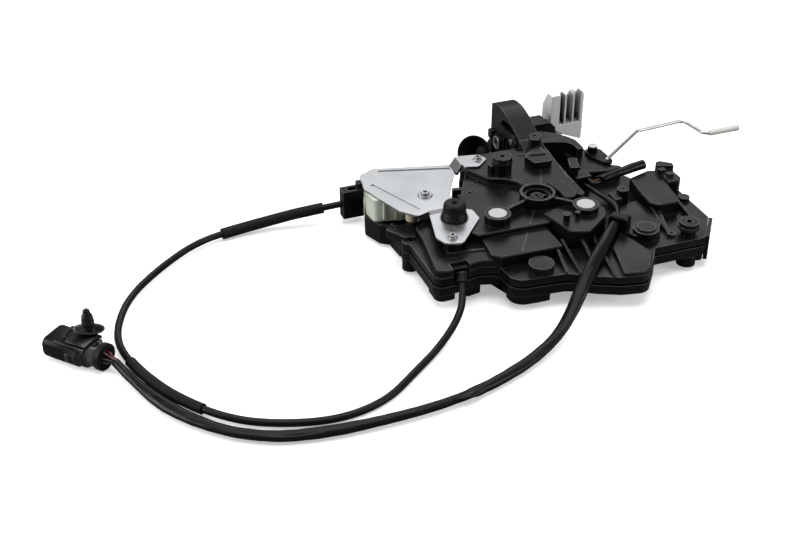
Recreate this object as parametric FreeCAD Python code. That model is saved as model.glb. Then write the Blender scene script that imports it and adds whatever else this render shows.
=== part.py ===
# Car door lock, lying on its back with the cover upwards.
# The outlines below are in millimetres, with z = 0 on the surface it lies on.
# Every piece is moved at the end so that the visible M8 fixing bush is the origin.
import FreeCAD, Part
import math
import os

V = FreeCAD.Vector
X_AXIS = V(1, 0, 0)
Y_AXIS = V(0, 1, 0)
Z_AXIS = V(0, 0, 1)

# Main sizes of the housing
WALL = 2.5
PAN_Z = 0.0
FLANGE_Z = 12.0
PARTING_Z = 19.0
RIM_Z = 26.0
GROOVE_IN = 2.0
GROOVE_H = 1.8
TOP_EDGE = 0.7

# Heights of the raised areas of the cover
LEFT_Z = 31.5
ARM_Z = 28.0
LABEL_Z = 35.0
MIDDLE_Z = 38.5
UPPER_Z = 43.5
PLATE_Z = 41.0
BACK_Z = 36.0
GEAR_Z = 30.0
FAN_Z = 29.0
MOTOR_Z = 36.0

# Fixing bushes and the latch head
BUSH_X = 17.0
BUSH_Y = 115.5
BUSH_Z = 33.5
BUSH_BORE = 8.1
BUSH_OUTER = 10.6
BUSH_COLLAR = 13.8
PLATE_X = 19.8
PLATE_THICK = 3.0
HEAD_X = PLATE_X + PLATE_THICK
HOOD_X = 40.5
HOOD_FRONT = 48.3
HEAD_Y = 86.0
HEAD_BACK = 138.0
MOUTH_Y = 100.0
MOUTH_WIDTH = 14.0
MOUTH_TOP = 29.0

# Catch and pawl
CLAW_Y = MOUTH_Y + MOUTH_WIDTH / 2 + 4.0
CLAW_Z = 21.5
CLAW_R = 18.5
CLAW_THICK = 5.4
CLAW_BORE = 7.0
CLAW_SLOT = 9.0
CLAW_OPEN = 52.0
STRIKER_REACH = CLAW_Y - MOUTH_Y
PAWL_Y = 94.0
PAWL_Z = CLAW_Z + CLAW_R + 4.0
PAWL_HUB_R = 4.2
PAWL_BORE = 5.0
FIT = 0.05
RUN = 0.5

# Steel bracket and what stands on it
SHEET = 1.5
BRACKET_Z = MIDDLE_Z - SHEET
LOW_TAB_Z = MIDDLE_Z
BUFFER_BASE_D = 18.0
BUFFER_TOP_D = 15.0
BUFFER_H = 12.5
LARGE_SCREW = (-68.7, 49.8)
HIGH_SCREW = (-16.3, 75.4)
LOW_SCREW = (-73.4, -14.1)
BUFFER_XY = (-62.1, 10.3)

# Outer lever of cast zinc
PADDLE_X0 = 67.3
PADDLE_X1 = 95.8
PADDLE_Y0 = 121.5
PADDLE_DEPTH = 16.0
PADDLE_BASE = 34.5
PADDLE_TOP = 64.6
PADDLE_SLOTS = [(7.7, 11.9), (13.4, 19.1), (20.4, 25.9)]
PADDLE_PIN_D = 6.0
PADDLE_PIN_Y = 129.5
PADDLE_PIN_Z = 29.0

# Round bosses of the cover
RING_XY = (3.1, 12.2)
RING_R = 12.7
RING_WALL = 1.7
RING_Z = 47.0
CAP_BOSSES = [(-34.8, -3.0), (29.0, -13.0)]
CAP_BOSS_R = 9.3
CAP_BOSS_Z = 45.5
CAP_R = 6.5
LOW_DISC_XY = (-24.1, -52.9)
LOW_DISC_R = 8.7
POST_XY = (-6.6, 52.6)
POST_R = 7.2
POST_Z = 57.5
RIGHT_POST_XY = (94.7, -46.1)
RIGHT_POST_Z = 36.0

# Cables
BOWDEN_D = 5.0
FOAM_D = 9.0
HARNESS_D = 7.0
BUNDLE_D = 4.1
SHORT_D = 7.6
LYING_Z = 4.6

# Gear drive inside the housing
MOTOR_AXIS_X = 90.5
MOTOR_AXIS_Z = 10.0
WORM_R = 3.5
WHEEL_R = 12.6
WHEEL_TEETH = 26
GEAR_GAP = 0.4
WHEEL_Y = -18.0
WHEEL_X = MOTOR_AXIS_X - WORM_R - WHEEL_R - GEAR_GAP

ORIGIN = V(BUSH_X, BUSH_Y, BUSH_Z)
os.makedirs("parts", exist_ok=True)


def corner(before, point, after, radius):
    """Start, middle and end of the arc that rounds one corner."""
    p = V(point[0], point[1], 0)
    a = V(before[0], before[1], 0) - p
    b = V(after[0], after[1], 0) - p
    half = a.getAngle(b) / 2
    a.normalize()
    b.normalize()
    reach = radius / math.tan(half)
    middle = (a + b).normalize()
    centre = p + middle * (radius / math.sin(half))
    return p + a * reach, centre - middle * radius, p + b * reach


def outline(points):
    """Closed flat face through points (x, y) or (x, y, corner radius)."""
    edges = []
    marks = []
    count = len(points)
    for i in range(count):
        point = points[i]
        if len(point) == 3:
            marks.append(corner(points[i - 1], point, points[(i + 1) % count], point[2]))
        else:
            marks.append((V(point[0], point[1], 0),))
    for i in range(count):
        mark = marks[i]
        after = marks[(i + 1) % count]
        if len(mark) == 3:
            edges.append(Part.Arc(mark[0], mark[1], mark[2]).toShape())
        if mark[-1].distanceToPoint(after[0]) > 0.001:
            edges.append(Part.makeLine(mark[-1], after[0]))
    return Part.Face(Part.Wire(edges))


def slab(points, z0, z1):
    """Upright block on an outline."""
    face = outline(points)
    face.translate(V(0, 0, z0))
    return face.extrude(V(0, 0, z1 - z0))


def plateau(points, z0, z1):
    """Upright block whose upper edge is bevelled."""
    block = slab(points, z0, z1)
    return block.makeChamfer(TOP_EDGE, [e for e in block.Edges if e.BoundBox.ZMin > z1 - 0.01])


def inset(points, amount, z0, z1):
    """Upright block on an outline drawn inwards."""
    wire = outline(points).OuterWire.makeOffset2D(-amount, 2)
    face = Part.Face(wire)
    face.translate(V(0, 0, z0))
    return face.extrude(V(0, 0, z1 - z0))


def side_slab(points, x0, x1):
    """Block along X on an outline of (y, z) points."""
    face = outline(points)
    face.rotate(V(0, 0, 0), V(1, 1, 1), 120)
    face.translate(V(x0, 0, 0))
    return face.extrude(V(x1 - x0, 0, 0))


def front_slab(points, y0, y1):
    """Block along Y on an outline of (x, z) points."""
    face = outline(points)
    face.rotate(V(0, 0, 0), X_AXIS, 90)
    face.translate(V(0, y0, 0))
    return face.extrude(V(0, y1 - y0, 0))


def post(x, y, z0, z1, radius, top=None):
    """Upright cylinder, or cone with another top radius."""
    if top is None:
        return Part.makeCylinder(radius, z1 - z0, V(x, y, z0), Z_AXIS)
    return Part.makeCone(radius, top, z1 - z0, V(x, y, z0), Z_AXIS)


def rod_x(x0, x1, y, z, radius):
    """Cylinder along X."""
    return Part.makeCylinder(radius, x1 - x0, V(x0, y, z), X_AXIS)


def box(x0, x1, y0, y1, z0, z1):
    """Block from its limits."""
    return Part.makeBox(x1 - x0, y1 - y0, z1 - z0, V(x0, y0, z0))


def rib(start, end, width, z0, z1):
    """Straight upright rib between two (x, y) points."""
    a = V(start[0], start[1], 0)
    b = V(end[0], end[1], 0)
    side = (b - a).cross(Z_AXIS).normalize() * (width / 2)
    corners = [a + side, b + side, b - side, a - side]
    return slab([(p.x, p.y) for p in corners], z0, z1)


def sloped_rib(start, end, width, z0, top_start, top_end):
    """Rib whose top falls from its first end to its second."""
    a = V(start[0], start[1], z0)
    b = V(end[0], end[1], z0)
    side = (b - a).cross(Z_AXIS).normalize() * (width / 2)
    wire = Part.makePolygon([
        a - side,
        b - side,
        b - side + V(0, 0, top_end - z0),
        a - side + V(0, 0, top_start - z0),
        a - side,
    ])
    return Part.Face(wire).extrude(side * 2)


def centreline(points, first=0, last=None, bend=None):
    """Straight runs joined by tangent arcs, as a list of edges.

    With last given, the line starts and ends half way along its first and last
    run. With bend given, no arc has a larger radius.
    """
    p = [V(*q) for q in points]
    runs = len(p) - 1
    last_run = runs - 1 if last is None else last
    here = p[0] if first == 0 and last is None else (p[first] + p[first + 1]) * 0.5
    edges = []
    for i in range(first + 1, last_run + 1):
        back = p[i - 1] - p[i]
        ahead = p[i + 1] - p[i]
        reach = 0.45 * min(back.Length, ahead.Length)
        half = back.getAngle(ahead) / 2
        if bend is not None:
            reach = min(reach, bend / math.tan(half))
        back.normalize()
        ahead.normalize()
        enter = p[i] + back * reach
        leave = p[i] + ahead * reach
        middle = (back + ahead).normalize()
        radius = reach * math.tan(half)
        arc_mid = p[i] + middle * (radius / math.sin(half) - radius)
        edges.append(Part.makeLine(here, enter))
        edges.append(Part.Arc(enter, arc_mid, leave).toShape())
        here = leave
    end = p[-1] if last is None else (p[last_run] + p[last_run + 1]) * 0.5
    edges.append(Part.makeLine(here, end))
    return edges


def tube(edges, radius, bore=0.0):
    """Round section swept along a centreline, hollow if it has a bore."""
    path = Part.Wire(edges)
    start = edges[0].firstVertex().Point
    heading = edges[0].tangentAt(edges[0].FirstParameter)
    ring = Part.Wire(Part.makeCircle(radius, start, heading))
    shape = path.makePipeShell([ring], True, False)
    if bore:
        hole = Part.Wire(Part.makeCircle(bore, start, heading))
        shape = shape.cut(path.makePipeShell([hole], True, False))
    return shape


def cylinder_along(start, end, radius):
    """Cylinder between two points in space."""
    a = V(*start)
    b = V(*end)
    return Part.makeCylinder(radius, (b - a).Length, a, b - a)


def ring_coil(x, y, z, radius, wire_r, turns, pitch):
    """Rings side by side along X, joined by a bridge, as a torsion spring."""
    shape = None
    for i in range(turns):
        loop = Part.makeTorus(radius, wire_r, V(x + i * pitch, y, z), X_AXIS)
        shape = loop if shape is None else shape.fuse(loop)
    top = z + radius + 0.5 * wire_r
    bridge = box(x, x + (turns - 1) * pitch, y - wire_r, y + wire_r, top - wire_r, top)
    return shape.fuse(bridge)


def joined(shapes):
    """One body from several that touch or overlap."""
    return shapes[0].multiFuse(shapes[1:]).removeSplitter()


def save(name, shapes):
    """Write one node, moved so that the fixing bush is the origin."""
    if not isinstance(shapes, list):
        shapes = [shapes]
    solids = []
    for shape in shapes:
        for solid in shape.Solids:
            solid = solid.copy()
            solid.translate(ORIGIN * -1)
            solids.append(solid)
    body = solids[0] if len(solids) == 1 else Part.makeCompound(solids)
    body.exportStep("parts/" + name + ".step")


# Outlines of the housing, seen from above
MAIN = [
    (-96.0, -41.5, 7), (-84.0, -40.5, 6), (-62.0, -36.0, 6), (-49.5, -39.5, 4),
    (-47.5, -60.5, 11), (-29.0, -62.0, 8), (-9.0, -64.0, 16), (9.0, -74.5, 14),
    (24.0, -81.5, 12), (42.0, -85.0, 10), (57.0, -65.5, 10), (63.0, -56.0, 3),
    (103.5, -56.0, 3), (121.0, -32.0, 4), (121.0, 10.0, 3), (124.0, 26.0, 3),
    (114.0, 34.0, 3), (98.0, 34.0, 3), (94.5, 44.0, 3), (77.5, 53.0, 4),
    (77.0, HEAD_Y, 3), (-22.0, HEAD_Y, 4), (-26.0, 72.0, 4), (-49.0, 34.0, 3),
    (-60.0, 37.0, 3), (-97.0, 37.0, 4),
]
PAN = [
    (-80.0, -18.0, 6), (-48.0, -18.0, 4), (-40.0, -40.0, 8), (-8.0, -44.0, 8),
    (30.0, -60.0, 8), (48.0, -42.0, 6), (102.0, -38.0, 6), (104.0, 26.0, 6),
    (62.0, 30.0, 6), (62.0, 68.0, 6), (-16.0, 68.0, 6), (-36.0, 30.0, 6),
    (-80.0, 22.0, 6),
]
LOBE = [
    (-62.0, 30.0), (-60.0, 93.0, 4), (-101.0, 93.0, 4), (-109.0, 68.0, 5),
    (-103.0, 52.0, 3), (-97.0, 48.0, 2), (-95.5, 30.0),
]
LEFT = [
    (-95.3, -40.5, 7), (-84.0, -39.5, 6), (-62.0, -35.3, 6), (-51.0, -38.0, 2),
    (-51.0, -12.0, 2), (-58.0, 12.0, 4), (-78.0, 26.0, 4), (-87.5, 21.0, 3),
    (-88.5, 4.0, 5),
]
LABEL = [
    (-51.8, -15.4), (-54.1, -36.0, 2), (-48.0, -41.6, 2), (-2.7, -42.8, 1.5), (-3.2, -14.0),
]
MIDDLE = [
    (-58.2, -10.0, 2), (-54.0, -15.0, 2), (-1.5, -16.4), (12.0, -12.0), (20.0, 2.0),
    (34.0, 0.0), (38.6, 40.0), (-14.0, 70.0), (-25.5, 76.0, 2), (-48.0, 35.0, 3),
]
UPPER = [
    (-27.0, 84.8, 2), (-28.0, 66.0, 3), (-19.0, 48.5, 5), (-8.0, 43.5, 4), (-1.5, 36.5, 3),
    (2.0, 22.0), (24.0, 16.0, 4), (37.5, -3.0, 3), (40.5, 84.8, 1),
]
PLATE = [
    (-1.0, -7.5), (6.0, -36.0, 5), (18.0, -41.0, 6), (39.0, -25.5, 5), (43.0, -17.0, 5),
    (41.5, -8.0, 5), (30.0, -2.0), (12.0, -4.0, 4), (2.0, -5.5, 2),
]
PAD = [
    (15.8, 26.0, 2), (27.4, 24.9, 4), (31.6, 6.0, 5), (27.0, -1.5, 5), (19.0, 0.0, 4),
    (19.0, 12.0, 5),
]
FAN = [
    (48.2, -31.5, 1), (56.0, -63.0, 5), (42.0, -84.2, 10), (24.5, -80.4, 2), (29.0, -64.0, 8),
    (33.0, -48.0, 8),
]
GEAR_AREA = [
    (49.0, -32.0, 2), (53.0, -39.0, 4), (62.0, -48.0, 8), (72.0, -46.5, 6), (76.0, -38.0, 5),
    (82.5, -31.0, 2), (80.0, 2.5, 2), (64.0, -2.0, 2), (56.5, -6.0, 1.5), (55.5, -24.0, 2),
]
MOTOR_AREA = [
    (85.5, 24.0, 2), (104.0, 30.0, 3), (110.5, 27.5, 2), (108.0, 8.0, 3), (103.5, -19.0, 3),
    (87.0, -18.5, 3), (81.5, -13.0, 3), (82.3, 3.0, 2),
]
FAR_BLOCK = [
    (113.0, 32.5, 2), (122.8, 25.5, 2), (119.8, 18.5), (120.2, 9.0, 2), (116.0, 5.0, 2),
    (108.0, 6.0), (109.5, 26.0),
]
BACK_AREA = [
    (57.8, 44.0, 2), (76.0, 40.0, 3), (92.5, 41.5, 2), (77.2, 51.5, 3), (74.9, 70.0, 2),
    (75.5, 78.5, 2), (70.0, 85.0), (57.9, 85.0),
]
BEAM = [
    (40.5, 83.5), (48.6, 81.2, 2), (58.7, 77.5, 6), (62.3, 70.6, 4), (61.7, 64.0),
    (67.2, 64.0, 2), (67.2, 78.3, 7), (63.2, 86.5, 4), (57.4, 93.5, 5), (48.0, 100.5, 4),
    (40.5, 100.5),
]

# Lower shell: a flange at the parting line over a deeper pan, with feet
BULGE_FOOT = [
    (-46.0, -46.0), (-46.0, -58.8, 10), (-29.0, -60.4, 7), (-19.0, -60.6, 2), (-18.5, -46.0),
]
CORNER_FOOT = [(-94.5, -24.0), (-94.5, -39.8, 6), (-80.5, -39.2, 3), (-79.5, -24.0)]
CABLE_FOOT = [(-72.0, -24.0), (-71.5, -36.6, 2), (-60.0, -34.5, 3), (-58.0, -24.0)]
SIDE_BOSS = (-93.5, 14.0)
RIGHT_FOOT = (93.6, -49.5)
SCREWS = [CAP_BOSSES[0], CAP_BOSSES[1], (50.0, -30.0), (4.0, 58.0), (70.0, 20.0)]
SCREW_R = 1.5
shell = joined([
    slab(MAIN, FLANGE_Z, PARTING_Z),
    slab(PAN, PAN_Z, FLANGE_Z),
    slab(LOBE, 3.0, PARTING_Z),
])
shell = shell.cut(inset(MAIN, WALL, FLANGE_Z + WALL, PARTING_Z))
shell = shell.cut(inset(PAN, WALL, PAN_Z + WALL, PARTING_Z))
shell = shell.cut(inset(LOBE, WALL, 3.0 + WALL, PARTING_Z))
shell = joined([
    shell,
    slab(CORNER_FOOT, 6.8, FLANGE_Z),
    slab(CABLE_FOOT, 4.5, FLANGE_Z),
    slab(BULGE_FOOT, 4.9, FLANGE_Z),
    post(*RIGHT_FOOT, 3.5, FLANGE_Z, 6.8),
    post(102.0, -49.5, 6.0, FLANGE_Z, 4.2),
    post(*SIDE_BOSS, 3.0, FLANGE_Z, 6.0),
    post(*SIDE_BOSS, FLANGE_Z, PARTING_Z, 6.6),
    rib((105.5, -55.0), (120.8, -34.0), 3.0, 7.0, RIM_Z + 0.5),
])
for x, y in SCREWS:
    shell = shell.fuse(post(x, y, PAN_Z, PARTING_Z, 4.6))
for x, y in SCREWS:
    shell = shell.cut(post(x, y, PAN_Z - 1.0, PAN_Z + 1.8, 3.5))
    shell = shell.cut(post(x, y, PAN_Z, 16.0, SCREW_R))
save("lower_shell", shell.removeSplitter())

# Upper cover: raised areas over a rim, all hollow from below
areas = [
    (LEFT, LEFT_Z), (LABEL, LABEL_Z), (MIDDLE, MIDDLE_Z), (UPPER, UPPER_Z), (PLATE, PLATE_Z),
    (FAN, FAN_Z), (GEAR_AREA, GEAR_Z), (MOTOR_AREA, MOTOR_Z), (FAR_BLOCK, 38.0),
    (BACK_AREA, BACK_Z),
]
cover = inset(MAIN, 0.6, PARTING_Z + GROOVE_H, RIM_Z)
cover = cover.fuse(inset(MAIN, GROOVE_IN, PARTING_Z, PARTING_Z + GROOVE_H))
cover = joined([cover] + [plateau(points, PARTING_Z + GROOVE_H, top) for points, top in areas])
for points, top in areas:
    cover = cover.cut(inset(points, WALL, PARTING_Z, top - WALL))
cover = cover.cut(inset(MAIN, 0.6 + WALL, PARTING_Z, RIM_Z - WALL))
BEAM_FRONT = slab(BEAM, RIM_Z - WALL, UPPER_Z + 1.5).common(box(0, 90, 0, HEAD_Y, 0, 60))
features = [BEAM_FRONT.cut(slab(UPPER, 0, 60))]
features.append(plateau(PAD, UPPER_Z - WALL, UPPER_Z + 2.5))
features.append(side_slab(
    [(75.0, UPPER_Z - WALL), (HEAD_Y, UPPER_Z - WALL), (HEAD_Y, HOOD_FRONT), (75.0, UPPER_Z + 0.1)],
    HEAD_X, HOOD_X))

# Ring boss with the key socket and its two ribs
features.append(post(*RING_XY, RIM_Z - WALL, RING_Z, RING_R))
features.append(rib(RING_XY, CAP_BOSSES[0], 2.2, MIDDLE_Z - WALL, CAP_BOSS_Z))
features.append(rib(RING_XY, CAP_BOSSES[1], 2.2, PLATE_Z - WALL, CAP_BOSS_Z))
for x, y in CAP_BOSSES:
    features.append(post(x, y, RIM_Z - WALL, CAP_BOSS_Z, CAP_BOSS_R))
features.append(post(*LOW_DISC_XY, RIM_Z - WALL, 32.0, LOW_DISC_R))
features.append(post(64.7, -38.5, GEAR_Z - WALL, 32.5, 9.3))
features.append(post(64.7, -38.5, GEAR_Z - WALL, 33.7, 6.6))

# Posts
features.append(post(*POST_XY, UPPER_Z - WALL, POST_Z - 4.0, POST_R))
features.append(post(*POST_XY, POST_Z - 4.0, POST_Z, POST_R + 0.4, POST_R - 0.6))
features.append(rib((POST_XY[0] - 10.5, POST_XY[1]), POST_XY, 5.0, UPPER_Z - WALL, POST_Z - 5.5))
features.append(post(9.3, -22.5, PLATE_Z - WALL, 46.5, 2.4))
features.append(post(18.7, -20.9, PLATE_Z - WALL, 45.5, 1.8))
features.append(post(71.3, 8.6, RIM_Z - WALL, 38.0, 4.3))
features.append(box(61.0, 66.5, 0.5, 11.0, RIM_Z - WALL, 35.0))
features.append(post(*RIGHT_POST_XY, RIM_Z - WALL, RIGHT_POST_Z - 5.0, 5.4))
features.append(post(*RIGHT_POST_XY, RIGHT_POST_Z - 5.0, RIGHT_POST_Z - 3.0, 8.0))
features.append(post(*RIGHT_POST_XY, RIGHT_POST_Z - 3.0, RIGHT_POST_Z, 7.0))
features.append(post(82.0, -44.5, RIM_Z - WALL, 28.0, 3.0))
features.append(post(116.5, -4.0, RIM_Z - WALL, 29.0, 4.0))
features.append(post(*SIDE_BOSS, PARTING_Z, RIM_Z, 6.2))

# Clip boxes of the upper plateau
features.append(slab(
    [(14.5, 59.0, 2), (17.8, 47.0, 2), (31.6, 46.0, 2), (32.5, 66.5, 2), (25.6, 69.0, 3)],
    UPPER_Z - WALL, UPPER_Z + 6.5))
features.append(slab(
    [(25.5, 72.0, 2), (31.0, 69.5, 2), (36.6, 76.5, 2), (35.5, 82.0, 2), (28.0, 80.5, 2)],
    UPPER_Z - WALL, UPPER_Z + 12.0))
features.append(slab(
    [(46.0, 50.0, 2), (41.5, 36.5, 2), (47.5, 34.0, 2), (53.0, 48.7, 2)], RIM_Z - WALL, UPPER_Z + 3.5))

# Wire outlet, pads under the bracket and the snap arm at the left
features.append(box(45.0, 57.5, 32.5, 43.0, RIM_Z - WALL, 39.0))
features.append(post(*LOW_SCREW, LEFT_Z - WALL, LOW_TAB_Z, 6.0))
features.append(post(-66.0, 4.0, LEFT_Z - WALL, LOW_TAB_Z, 8.0))
features.append(slab(
    [(-90.0, 13.0, 2), (-88.5, 20.5, 2), (-98.0, 38.0, 1.5), (-101.0, 37.0, 1.5), (-94.5, 24.0, 1.5),
     (-103.0, 32.5, 1.5), (-106.5, 31.0, 1.5), (-97.0, 16.0, 4)],
    PARTING_Z + 3.0, ARM_Z))

# Stiffening ribs in the hollow right of the label area
for start, end, top_start, top_end in (
    ((14.3, -34.0), (12.4, -62.0), 36.0, 26.6),
    ((25.0, -32.0), (24.6, -40.0), 36.0, 29.0),
    ((-6.5, -41.0), (-9.5, -63.0), 33.5, 27.0),
    ((0.5, -34.0), (-0.8, -67.0), 34.5, 27.0),
    ((22.5, -52.0), (19.3, -78.0), 31.0, 27.0),
    ((87.7, -16.0), (79.1, -46.0), 31.0, 28.5),
    ((107.5, 10.0), (106.8, -32.0), 34.0, 28.0),
    ((86.2, 20.0), (80.4, -43.0), MOTOR_Z + 0.6, 28.0),
):
    features.append(sloped_rib(start, end, 1.8, RIM_Z - WALL, top_start, top_end))
features.append(rib((-80.0, -20.0), (-53.0, -24.0), 1.2, LEFT_Z - 1.0, LEFT_Z + 1.0))

# Studs and hump of the block at the far right, and small lugs at the left edge
for x, y in ((110.6, 20.7), (113.0, 13.2)):
    features.append(box(x - 2.2, x + 2.2, y - 1.9, y + 1.9, 32.0, 40.6))
features.append(slab([(110.0, 25.5), (111.0, 31.5, 1.5), (115.0, 31.5), (122.0, 25.6, 1.5), (121.0, 21.5)],
                     32.0, 41.0))
for start, end, width in (
    ((-26.8, 76.5), (-33.8, 63.6), 4.4), ((-36.5, 53.3), (-45.0, 55.0), 3.4),
    ((-41.5, 43.5), (-45.0, 44.6), 2.5),
):
    features.append(rib(start, end, width, RIM_Z - WALL, MIDDLE_Z - 2.6))

# Raised guide, edge bead and mould lines on the plateaus
features.append(slab([(29.7, 69.5, 1), (17.6, 59.0, 1), (31.4, 56.5, 1)], UPPER_Z - WALL, UPPER_Z + 7.6))
features.append(rib((41.0, 83.0), (35.6, 27.0), 0.9, UPPER_Z - 1.0, UPPER_Z + 0.5))
features.append(rib((24.2, 50.0), (13.4, 28.0), 0.8, UPPER_Z - 1.0, UPPER_Z + 0.3))
features.append(rib((3.0, 12.0), (-14.8, -14.4), 0.8, MIDDLE_Z - 1.0, MIDDLE_Z + 0.4))
features.append(rib((-19.0, -19.5), (-33.0, -40.0), 0.8, LABEL_Z - 1.0, LABEL_Z + 0.4))
cover = joined([cover] + features)

# Sockets, holes and slots of the cover
for x, y, radius, z in (
    (*RING_XY, RING_R - RING_WALL, MIDDLE_Z),
    (*CAP_BOSSES[0], CAP_R, CAP_BOSS_Z - 0.8),
    (*CAP_BOSSES[1], CAP_R, CAP_BOSS_Z - 0.8),
    (*POST_XY, 2.0, 44.0),
    (*RIGHT_POST_XY, 2.2, 28.0),
    (82.0, -44.5, 1.3, 25.0),
    (*LOW_SCREW, 2.0, LOW_TAB_Z - 6.0),
    (*HIGH_SCREW, 2.0, UPPER_Z - 2.0),
    (-27.0, 54.8, 1.6, MIDDLE_Z - 1.5),
    (-36.9, 41.5, 1.5, MIDDLE_Z - 1.5),
    (20.6, 81.0, 2.8, UPPER_Z - 1.8),
    (31.5, 78.0, 1.5, UPPER_Z + 8.5),
    (*SIDE_BOSS, 1.6, 22.0),
    (71.3, 8.6, 1.2, 34.0),
):
    cover = cover.cut(post(x, y, z, 60.0, radius))
cover = cover.cut(post(*RING_XY, RIM_Z - WALL, 60.0, 4.4))
cover = cover.cut(rib((14.3, 72.2), (21.8, 70.7), 2.2, UPPER_Z - 1.8, 60.0))
cover = cover.cut(rib((1.0, 36.8), (9.4, 36.6), 1.4, UPPER_Z - 1.5, 60.0))
cover = cover.cut(rib((19.2, 52.5), (21.2, 49.0), 1.2, UPPER_Z + 5.0, 60.0))
cover = cover.cut(rib((25.5, 53.5), (25.8, 49.5), 1.0, UPPER_Z + 5.0, 60.0))
cover = cover.cut(rib((-83.0, -26.2), (-75.8, -27.7), 1.8, LEFT_Z - 1.5, 60.0))
curved_slot = post(-3.5, 27.0, MIDDLE_Z - 1.5, 60.0, 14.5).cut(post(-3.5, 27.0, 0, 60.0, 13.0))
curved_slot = curved_slot.common(box(-20.0, -5.5, 28.0, 45.0, 0, 60.0))
cover = cover.cut(curved_slot.cut(slab(UPPER, 0, 60.0)))
arc_slot = post(-36.5, 40.0, MIDDLE_Z - 1.5, 60.0, 5.6).cut(post(-36.5, 40.0, 0, 60.0, 4.6))
cover = cover.cut(arc_slot.common(box(-45.0, -28.0, 42.5, 50.0, 0, 60.0)))

# Wiring sleeve from the clip to the connector, with its trough in the cover
HARNESS = [
    (43.0, -30.5, 35.0), (0.0, -75.0, 31.8), (-26.0, -96.5, 7.0), (-62.0, -119.5, LYING_Z),
    (-112.0, -137.5, LYING_Z), (-170.0, -141.5, LYING_Z), (-226.0, -137.0, LYING_Z),
    (-260.0, -119.5, LYING_Z), (-285.6, -90.4, LYING_Z), (-302.2, -56.2, LYING_Z),
    (-311.6, -30.7, 8.0),
]
cover = cover.cut(tube(centreline(HARNESS[:3]), HARNESS_D / 2 + 0.3))

# Channel for the cable that enters the front wall, with the seat of its gland
GLAND_IN = (-75.6, -36.4, 24.6)
GLAND_OUT = (-77.0, -41.2, 20.8)
GLAND_R = 4.6
cover = cover.cut(box(-83.0, -70.0, -46.0, -31.5, PARTING_Z + 0.6, 60.0))
save("upper_cover", cover.removeSplitter())

# Clear caps let into two bosses
save("sight_caps", [
    post(x, y, CAP_BOSS_Z - 0.8, CAP_BOSS_Z + 0.2, CAP_R - 0.1) for x, y in CAP_BOSSES
])

# Key coupling that turns in the ring boss
tumbler = post(*RING_XY, MIDDLE_Z + 0.4, RING_Z - 2.5, RING_R - RING_WALL - RUN)
tumbler = tumbler.cut(post(*RING_XY, RING_Z - 6.0, 60.0, RING_R - RING_WALL - 2.6))
tumbler = joined([
    tumbler,
    post(*RING_XY, RIM_Z, MIDDLE_Z + 0.6, 4.4 - 0.05),
    post(*RING_XY, MIDDLE_Z + 0.4, RING_Z - 3.0, 4.6),
    rib((RING_XY[0] - 7.5, RING_XY[1]), (RING_XY[0] + 7.5, RING_XY[1]), 2.4,
        MIDDLE_Z + 0.6, RING_Z - 3.6),
])
tumbler = tumbler.cut(rib(
    (RING_XY[0], RING_XY[1] - 3.4), (RING_XY[0], RING_XY[1] + 3.4), 1.8, RING_Z - 7.0, 60.0))
save("key_tumbler", tumbler)

# Latch head: plastic housing with the hood
hood_profile = [
    (HEAD_Y, 41.0), (HEAD_Y, HOOD_FRONT), (HEAD_Y + 12.0, HOOD_FRONT + 5.1, 60),
    (HEAD_Y + 23.0, HOOD_FRONT + 9.4, 40), (HEAD_Y + 34.0, HOOD_FRONT + 11.7, 32),
    (HEAD_Y + 45.5, HOOD_FRONT + 10.9, 25), (HEAD_BACK, HOOD_FRONT + 8.7, 1.5), (HEAD_BACK, 41.0),
]
head_profile = [
    (HEAD_Y, 0.0, 1), (HEAD_BACK, 0.0, 4), (HEAD_BACK, 41.0), (HEAD_Y, 41.0),
]
side_profile = [
    (HOOD_X - 1.0, 6.0), (64.0, 6.0), (64.0, 41.0, 2), (61.0, 44.4, 2), (HOOD_X - 1.0, 44.4),
]
step_profile = [
    (HOOD_X - 1.0, 34.0), (66.5, 34.0), (66.5, 40.4, 2), (61.5, 45.4, 3), (HOOD_X - 1.0, 45.4),
]
head = joined([
    side_slab(head_profile, HEAD_X, HOOD_X),
    side_slab(hood_profile, HEAD_X, HOOD_X),
    front_slab(side_profile, 128.0, 112.0),
    front_slab(step_profile, 118.5, 111.0),
    box(HOOD_X - 1.0, 64.0, 101.0, 112.0, 6.0, 34.0),
    slab(BEAM, FLANGE_Z, UPPER_Z + 1.5).common(box(0, 90, HEAD_Y, 140.0, 0, 60)),
    side_slab([
        (118.0, 8.0), (136.5, 8.0), (136.5, 30.0, 5), (129.5, 35.5, 5), (120.0, 31.0, 3),
    ], 57.0, 64.0),
])
claw_room = rod_x(HEAD_X - 1.0, HEAD_X + 1.2 + CLAW_THICK, CLAW_Y, CLAW_Z, CLAW_R + 1.0)
pawl_room = side_slab([
    (PAWL_Y - 5.1, PAWL_Z - 6.0, 3), (PAWL_Y - 5.1, PAWL_Z + 4.0, 4), (PAWL_Y + 3.0, PAWL_Z + 6.6, 5),
    (CLAW_Y - 7.0, PAWL_Z + 8.6, 3), (CLAW_Y + 7.0, PAWL_Z + 8.6, 3), (CLAW_Y + 7.0, PAWL_Z - 8.0),
    (CLAW_Y - 7.0, PAWL_Z - 14.0),
], HEAD_X - 1.0, HEAD_X + 1.2 + CLAW_THICK)
mouth_room = box(HEAD_X - 1.0, HOOD_X + 1.0, MOUTH_Y - MOUTH_WIDTH / 2, MOUTH_Y + MOUTH_WIDTH / 2,
                 -1.0, MOUTH_TOP)
head = head.cut(claw_room).cut(pawl_room).cut(mouth_room)
head = head.cut(rod_x(HEAD_X - 1.0, HOOD_X - 2.0, CLAW_Y, CLAW_Z, CLAW_BORE / 2 - FIT))
head = head.cut(rod_x(HEAD_X - 1.0, HOOD_X - 2.0, PAWL_Y, PAWL_Z, PAWL_BORE / 2 - FIT))
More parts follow.
